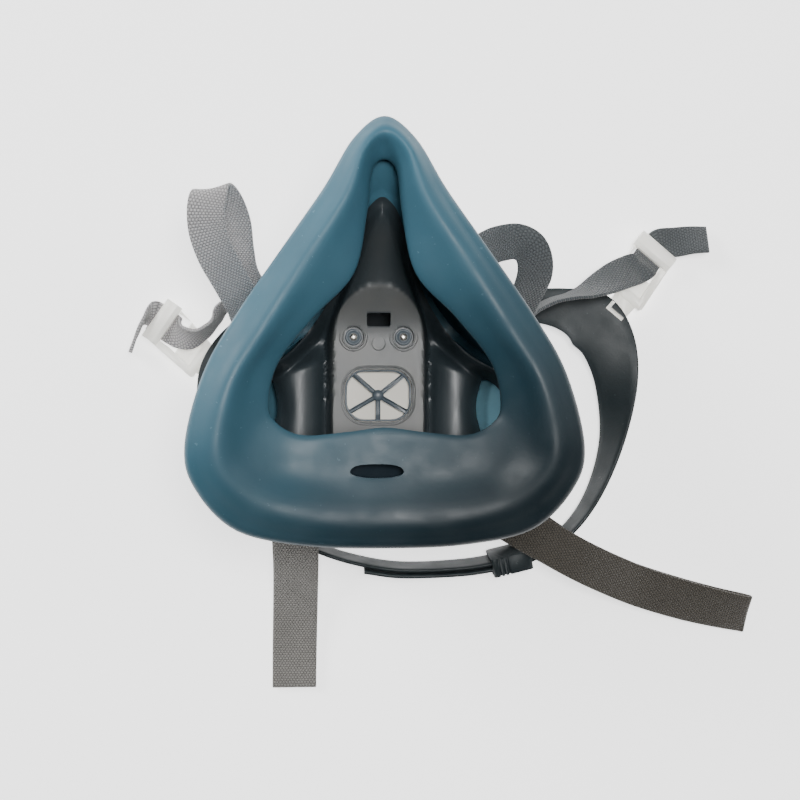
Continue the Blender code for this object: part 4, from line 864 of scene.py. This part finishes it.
def upper_strap(label, side):
    """Elastic from the yoke into a loop and through its buckle."""
    if side < 0:
        middle, onward = Vector((-39.6, 30.0, 15)), Vector((-0.40, 0.66, 0.64))
        across = Vector((0.86, 0.52, 0.0))
        loop = [((-46.4, 41.0, 26), (0.84, 0.46, 0.3)), ((-48.2, 50.0, 34), (0.82, 0.32, 0.46)),
                ((-49.0, 58.0, 42), (0.86, 0.25, 0.4)), ((-51.2, 63.6, 47.4), (0.93, 0.25, 0.22)),
                ((-53.6, 66.6, 51.6), (0.965, 0.24, 0.08)), ((-55.4, 67.0, 55.2), (0.97, 0.23, 0)),
                ((-56.7, 64.2, 57.4), (0.98, 0.19, 0)), ((-57.3, 59.4, 57.6), (0.99, 0.12, 0)),
                ((-56.8, 53.4, 55.8), (0.975, 0.22, 0)), ((-54.4, 46.4, 52), (0.92, 0.40, 0)),
                ((-50.9, 40.2, 46.8), (0.87, 0.49, 0)), ((-47.6, 34.4, 40.6), (0.86, 0.51, 0)),
                ((-45.2, 29.8, 34), (0.75, 0.5, 0.4)), ((-45.6, 28.4, 28.4), (0.4, 0.4, 0.82)),
                ((-49.0, 30.2, 23.6), (0.1, 0.2, 0.97)), ((-53.0, 29.8, 20), (0, 0.15, 0.99)),
                ((-56.6, 25.8, 17), (-0.05, 0.12, 0.99)), ((-60.8, 22.6, 14.2), (0, 0.25, 0.97)),
                ((-65.6, 21.4, 11.4), (0.12, 0.48, 0.87))]
        tail = [((-81.8, 27.6, 5.2), (0.35, 0.5, 0.79)), ((-83.6, 24.0, 6.4), (0.15, 0.2, 0.97)),
                ((-85.2, 20.0, 6.9), (0.15, 0.1, 0.98)), ((-86.8, 15.4, 7), (0.15, 0.05, 0.99))]
    else:
        middle, onward = Vector((36.5, 42.0, 13)), Vector((0.10, 0.60, 0.79))
        across = Vector((0.86, -0.45, 0.24))
        loop = [((37.0, 49.0, 29), (-0.66, 0.68, -0.3)), ((38.8, 51.0, 36.5), (-0.42, 0.85, -0.3)),
                ((42.4, 51.8, 42.5), (-0.30, 0.92, -0.25)), ((46.4, 51.8, 46.4), (-0.04, 0.97, -0.2)),
                ((50.2, 49.6, 48), (0.5, 0.84, 0.1)), ((52.2, 45.6, 47.2), (0.88, 0.45, 0.1)),
                ((52.6, 40.8, 44.4), (0.98, 0.15, 0.05)), ((51.2, 35.6, 39.6), (0.96, 0.2, 0.05)),
                ((48.8, 30.4, 33.6), (0.9, 0.25, 0.35)), ((48.4, 27.4, 28.4), (0.6, 0.05, 0.8)),
                ((51.8, 28.2, 24.4), (0.25, -0.08, 0.96)), ((57.2, 31.0, 21.6), (0.08, -0.12, 0.98)),
                ((63.5, 33.8, 19.6), (0.03, -0.15, 0.98)), ((70.0, 35.4, 18), (0.02, -0.2, 0.97)),
                ((76.0, 37.2, 16.6), (0.15, -0.42, 0.9)), ((82.0, 40.2, 14.6), (0.34, -0.65, 0.68)),
                ((88.2, 43.4, 12), (0.5, -0.78, 0.36)), ((93.8, 45.6, 9.2), (0.7, -0.70, 0.1))]
        tail = [((110.4, 56.2, 4.6), (0.5, -0.82, 0.1)), ((116.5, 57.0, 5.4), (0.3, -0.9, 0.35)),
                ((122.6, 57.2, 5.8), (0.22, -0.86, 0.45))]
    stations = wrap(middle, onward, across * -side, UPPER_STRAP_WIDTH)
    stations += [(where, turn, UPPER_STRAP_WIDTH) for where, turn in loop]
    pin, sideways, outward = buckle_frame(side)
    rows = [(BUCKLE_END - 9.6, 3.2), (BUCKLE_END - 7.4, 1.2), (BUCKLE_END - 4.4, -0.55),
            (BUCKLE_END - 0.5, -0.6), (BUCKLE_END + 1.8, -0.4)]
    leans = (0.9, 0.35, 0, 0, 0.15) if side < 0 else (0, 0, 0, 0, 0)
    slot = pin - sideways * side * BUCKLE_LEAN
    stations += [(slot + outward * reach + Vector((0, 0, rise)),
                  sideways + Vector((0, 0, lean)), BUCKLED_WIDTH)
                 for (reach, rise), lean in zip(rows, leans)]
    stations += [(where, turn, BUCKLED_WIDTH) for where, turn in tail]
    # The right upper strap gets the darker copy of the grey webbing, painted shade.
    piece = band("upper_web_" + label, stations, STRAP_THICKNESS,
                 GREY_WEB if side < 0 else SHADED_GREY_WEB, 6)
    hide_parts("upper_strap_" + label)
    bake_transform(piece)


def lower_strap(label, side):
    """Webbing from the yoke over the cradle, folded back beneath itself to its clasp."""
    width = LOWER_STRAP_WIDTH
    floor_gap = 0.25
    lying = floor_gap + STRAP_THICKNESS / 2
    height = lying + WRAP_RADIUS
    if side < 0:
        middle, onward = Vector((-28.0, -41.0, 11.0)), Vector((0.02, -1.0, 0.0))
        across = Vector((-1.0, -0.02, 0.0))
        flat = (-1, 0, 0)
        out = [(-28.0, -45.4, 15.0), (-27.9, -50.0, 16.2), (-27.8, -55.0, 15.8),
               (-27.8, -62.0, 12.8), (-27.9, -72.0, 7.2), (-28.1, -84.0, 3.6),
               (-28.3, -95.0, 2.7), (-28.4, -103.4, 2.7)]
        back = [(-28.4, -105.0, 1.75), (-28.4, -103.4, lying), (-28.4, -92.0, lying),
                (-28.2, -76.0, lying), (-28.2, -62.0, lying), (-28.8, -48.0, lying)]
        run = [(where, flat, width) for where in out + back]
        clasp, toward = Vector((-29.6, -33.0, height)), Vector((0.0, 1.0, 0.0))
        bar = Vector((-1.0, 0.0, 0.0))
        material = PALE_WEB
    else:
        middle, onward = Vector((36.8, -38.0, 11.0)), Vector((0.87, -0.49, 0.0))
        across = Vector((0.49, 0.87, 0.0))
        out = [((44.6, -42.6, 16.6), (0.5, 0.86, 0)), ((52.0, -46.9, 17.2), (0.5, 0.86, 0)),
               ((61.0, -52.0, 17.2), (0.49, 0.87, 0)),
               ((73.5, -58.9, 15.8), (0.45, 0.89, 0)), ((85.0, -64.4, 12.4), (0.38, 0.92, 0)),
               ((98.0, -69.8, 8.2), (0.3, 0.95, 0.1)), ((113.0, -74.6, 6.0), (0.22, 0.95, 0.2)),
               ((125.0, -77.7, 5.6), (0.16, 0.93, 0.32)), ((135.2, -79.8, 6.2), (0.1, 0.9, 0.42))]
        back = [((136.8, -79.8, 5.3), (0.1, 0.9, 0.42)), ((135.2, -79.2, 4.4), (0.1, 0.9, 0.42)),
                ((125.0, -77.3, 3.7), (0.16, 0.95, 0.28)), ((113.0, -74.4, 2.8), (0.22, 0.96, 0.12)),
                ((98.0, -69.8, 1.2), (0.3, 0.95, 0.03)), ((85.0, -64.8, lying), (0.38, 0.92, 0)),
                ((71.0, -57.4, lying), (0.5, 0.86, 0))]
        run = [(where, turn, width - 1.0) for where, turn in out + back]
        clasp, toward = Vector((50.4, -43.4, height)), Vector((-0.85, 0.53, 0.0))
        bar = Vector((0.53, 0.85, 0.0))
        # Painted shade: the right lower strap takes the darker copy of the pale webbing.
        material = SHADED_PALE_WEB
    stations = wrap(middle, onward, across, width, 3.6) + run
    ending = wrap(clasp, -toward, bar, width - 1.0)[::-1]
    stations += [((where[0], where[1], 2 * clasp.z - where[2]), turn, wide)
                 for where, turn, wide in ending]
    piece = band("lower_web_" + label, stations, STRAP_THICKNESS, material, 6)
    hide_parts("lower_strap_" + label)
    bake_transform(piece)


def cradle_path():
    """The band's middle line from its inner end, with the pegs, round to its outer end.

    A row is x, y, z, the lean in degrees from flat (0) to on edge (90), and the width.
    """
    arm, tip, on_edge, under = 10.0, 22.0, 9.0, 2.5
    return [
        (56.0, -55.9, on_edge, 77, arm), (46.5, -58.4, on_edge, 77, arm),
        (32, -60.8, on_edge, 77, arm), (10, -61.5, on_edge, 78, arm),
        (-7.5, -58.6, on_edge, 78, arm), (-22, -53.6, on_edge, 78, arm),
        (-38.5, -45.5, on_edge, 76, arm), (-50.0, -32, 8.6, 62, arm),
        (-55.5, -16, 7.6, 34, arm + 1), (-55.5, -3, CRADLE_Z, 10, tip * 0.7),
        (-52.5, 9, CRADLE_Z, 0, tip * 0.86), (-45, 20.5, 7.1, 0, tip * 0.72),
        (-33, 28, under, 0, arm + 1), (-15, 31, under, 0, arm), (10, 32.5, under, 0, arm),
        (35, 33.5, under, 0, arm + 1), (56, 33, 4.4, 0, arm + 2),
        (69, 31.5, CRADLE_Z, 0, tip * 0.70), (79, 27.4, CRADLE_Z, 0, tip),
        (85.6, 18.5, CRADLE_Z, 6, tip * 0.9), (88.5, 4, CRADLE_Z, 26, tip * 0.72),
        (86.8, -16, 7.4, 54, arm + 2), (80.0, -35, 8.4, 70, arm + 0.5),
        (70.0, -48.8, on_edge, 76, arm), (56.0, -58.1, on_edge, 77, arm),
        (46.5, -60.6, on_edge, 77, arm), (32, -62.9, on_edge, 77, arm),
        (10, -63.6, on_edge, 78, arm), (-3.5, -61.9, on_edge, 78, arm)]


def head_cradle():
    """The moulded head band with its pin slots, pegs and a painted highlight on the edges of its
    tips.
    """
    path = cradle_path()
    stations = []
    for index, (x, y, z, lean, width) in enumerate(path):
        ahead = path[min(index + 1, len(path) - 1)]
        behind = path[max(index - 1, 0)]
        along = Vector((ahead[0] - behind[0], ahead[1] - behind[1], 0)).normalized()
        outward = Vector((-along.y, along.x, 0))
        turn = math.radians(lean)
        across = outward * math.cos(turn) + Vector((0, 0, math.sin(turn)))
        stations.append(((x, y, z), across, width))
    piece = band("cradle_band", stations, CRADLE_THICKNESS, CRADLE, 8, 0.5)
    piece.data.materials.append(PAINTED_EDGE_HIGHLIGHT)
    for (x, y), outward in ((RIGHT_PIN, RIGHT_OUTWARD), (LEFT_PIN, LEFT_OUTWARD)):
        slot = prism("slot", [(1.08 * a, 1.2 * b) for a, b in HOOK], -5, 5, CRADLE)
        cut(piece, place(slot, (x, y, CRADLE_Z), (outward[1], -outward[0], 0)))
    through = (0.0, -1, 0.21)
    for x, y in ((13.5, -61.6), (27.5, -61.4)):
        hole = rod("hole", 1.9, 1.1, 5, CRADLE)
        cut(piece, place(hole, (x, y, 9.0), (1, 0, 0), through))
        peg = turned("peg", [(0, 0), (1.6, 0), (1.6, 3.4), (1.3, 3.9), (0, 4.0)], CRADLE, 32)
        join(piece, place(peg, (x, y, 9.0), (1, 0, 0), through))
    # Painted highlight: the side faces of the tips take the paler edge material.
    for face in piece.data.polygons:
        x, y, z = face.center / MM
        highlight_on_tip = y > -6 and z > 5.5 and (abs(x) > 50 or y > 20)
        if highlight_on_tip and abs(face.normal.z) < 0.6:
            face.material_index = 1
    smooth(piece, 50)
    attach(piece, "cradle")
    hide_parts("head_cradle")


def cradle_keeper():
    """Sleeve with ribs across it."""
    along = Vector((0.972, 0.235, 0))
    lean = math.radians(77)
    across = Vector((0.235, -0.972, 0)) * math.cos(lean) + Vector((0, 0, math.sin(lean)))
    normal = along.cross(across)
    tall, deep = 10.6, 4.8
    piece = prism("keeper_sleeve", rounded(14.5, tall + 2, 1.2, 4), -deep / 2 - 1, deep / 2 + 1,
                  CRADLE)
    cut(piece, box("hollow", (-20, -tall / 2, -deep / 2), (20, tall / 2, deep / 2), CRADLE))
    for step in range(3):
        x = -5.0 + 1.6 * step
        cut(piece, box("rib", (x, -9, deep / 2 + 0.7), (x + 0.6, 9, deep / 2 + 3), CRADLE))
        cut(piece, box("rib", (x, tall / 2 + 0.7, -9), (x + 0.6, tall / 2 + 3, 9), CRADLE))
    round_edges(piece, 0.22)
    place(piece, (49.0, -59.0, 9.0), along, normal)
    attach(piece, "cradle")
    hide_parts("cradle_keeper")


def buckle(label, side):
    """Milky buckle: a tapered frame with a thin web, a faceted hood, a tongue and a hook."""
    middle, across, _ = buckle_frame(side)
    lean = -side * BUCKLE_LEAN
    start, end, thick = BUCKLE_START, BUCKLE_END, 1.3
    slot = BUCKLED_WIDTH / 2 + 0.5
    wide = slot + 2.0
    edge = end - 4.6
    outline = [(-6.2, start), (6.2, start), (6.9, start + 0.9), (wide + lean, end - 1.5),
               (wide - 1.0 + lean, end), (-wide + 1.0 + lean, end), (-wide + lean, end - 1.5),
               (-6.9, start + 0.9)]
    piece = prism("buckle_plate_" + label, outline, -thick, thick, MILKY)
    inner = [(-3.9, start + 3.6), (3.9, start + 3.6), (lean * 0.8 + slot - 0.6, edge - 5),
             (lean * 0.8 - slot + 0.6, edge - 5)]
    cut(piece, prism("opening", inner, -5, 5, MILKY))
    cut(piece, box("slot", (lean - slot, edge - 6.4, -5), (lean + slot, end + 5, 5), MILKY))
    web = [(-4.6, start + 2.6), (4.6, start + 2.6), (lean * 0.42 + 4.8, start + 10.4),
           (lean * 0.42 - 4.8, start + 10.4)]
    join(piece, prism("web", web, -thick + 0.1, -0.5, MILKY))
    facets = [(edge - 0.8, thick - 0.9), (edge - 0.5, thick + 1.3), (edge + 1.0, thick + 2.6),
              (end - 1.2, thick + 2.4), (end + 0.9, thick + 0.8), (end + 0.9, thick - 0.9)]
    hood = prism("hood", facets, -wide, wide, MILKY)
    hood.data.transform(Matrix(((0, 0, 1, lean * MM), (1, 0, 0, 0), (0, 1, 0, 0), (0, 0, 0, 1))))
    join(piece, hood)
    tongue = prism("tongue", [(-4, -2.6), (4, -2.6), (4.6, start + 1.4), (-4.6, start + 1.4)],
                   -thick + 0.1, 0.7, MILKY)
    join(piece, tongue)
    join(piece, prism("hook", HOOK, 0.2, CRADLE_Z - BUCKLE_Z - 1.0, MILKY))
    round_edges(piece, 0.4, 3)
    place(piece, middle, across)
    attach(piece, "buckle_" + label)
    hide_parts("buckle_" + label)


# ---- stage

def set_camera():
    """Camera above the face side and a little to its left."""
    yaw = math.radians(CAMERA_YAW)
    target = Vector(CAMERA_TARGET) * MM
    back = Vector((-math.sin(yaw), 0, math.cos(yaw)))
    right = Vector((math.cos(yaw), 0, math.sin(yaw)))
    data = bpy.data.cameras.new("camera")
    camera = bpy.data.objects.new("camera", data)
    bpy.context.scene.collection.objects.link(camera)
    turn = Matrix((right, Vector((0, 1, 0)), back)).transposed().to_4x4()
    camera.matrix_world = Matrix.Translation(target + back * CAMERA_DISTANCE * MM) @ turn
    data.sensor_width = 36.0
    data.lens = LENS
    data.clip_start = 0.01
    bpy.context.scene.camera = camera


def lay_floor():
    material, _ = start_material("floor", (0.985, 0.985, 0.985), 0.9, Specular_IOR_Level=0.1,
                                 Emission_Color=(1.0, 1.0, 1.0, 1.0), Emission_Strength=1.5)
    floor = box("floor", (-FLOOR_REACH, -FLOOR_REACH, -20), (FLOOR_REACH, FLOOR_REACH, -0.05),
                material)


def light_sky():
    """A grey sky, brighter at the horizon than overhead."""
    world = bpy.data.worlds.new("sky")
    bpy.context.scene.world = world
    world.use_nodes = True
    sky = world.node_tree.nodes["Background"]
    tree = world.node_tree
    look = tree.nodes.new("ShaderNodeTexCoord")
    parts = tree.nodes.new("ShaderNodeSeparateXYZ")
    level = tree.nodes.new("ShaderNodeMapRange")
    level.inputs["To Min"].default_value = 1.1
    level.inputs["To Max"].default_value = 0.4
    tree.links.new(look.outputs["Generated"], parts.inputs[0])
    tree.links.new(parts.outputs["Z"], level.inputs["Value"])
    tree.links.new(level.outputs[0], sky.inputs["Strength"])


def place_lamps():
    """Three area lamps, with their places and sizes in metres."""
    middle = Vector((0.0, 0.01, 0.05))
    for name, where, size, power in (("top", (0.05, 0.12, 1.3), 0.4, 16.0),
                                     ("key", (-0.9, 0.55, 0.7), 0.5, 12.0),
                                     ("fill", (0.8, 0.3, 0.8), 0.7, 3.0)):
        data = bpy.data.lights.new(name, "AREA")
        data.size = size
        data.energy = power
        lamp = bpy.data.objects.new(name, data)
        lamp.location = where
        aim = middle - Vector(where)
        lamp.rotation_euler = aim.to_track_quat("-Z", "Y").to_euler()
        bpy.context.scene.collection.objects.link(lamp)


def dress_cad():
    """Finishes for the CAD pieces that keep their shape."""
    looks = {"front_housing": HOUSING, "exhalation_valve": FLAP, "exhalation_cover": HOUSING,
             "bayonet": HOUSING, "port_gasket": GASKET, "inhalation_valve": PORT_FLAP,
             "harness_yoke": YOKE, "neck_clasp": CRADLE}
    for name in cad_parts:
        piece = bpy.data.objects.get(name)
        for start, material in looks.items():
            if piece is not None and name.startswith(start):
                piece.data.materials.clear()
                piece.data.materials.append(material)


set_camera()
lay_floor()
light_sky()
place_lamps()
face_seal()
center_adapter()
adapter_marks()
exhalation_seat()
adapter_screws()
for side_label, side_sign in (("left", -1), ("right", 1)):
    upper_strap(side_label, side_sign)
    lower_strap(side_label, side_sign)
    buckle(side_label, side_sign)
    inhalation_valve(side_label, side_sign)
head_cradle()
cradle_keeper()
dress_cad()
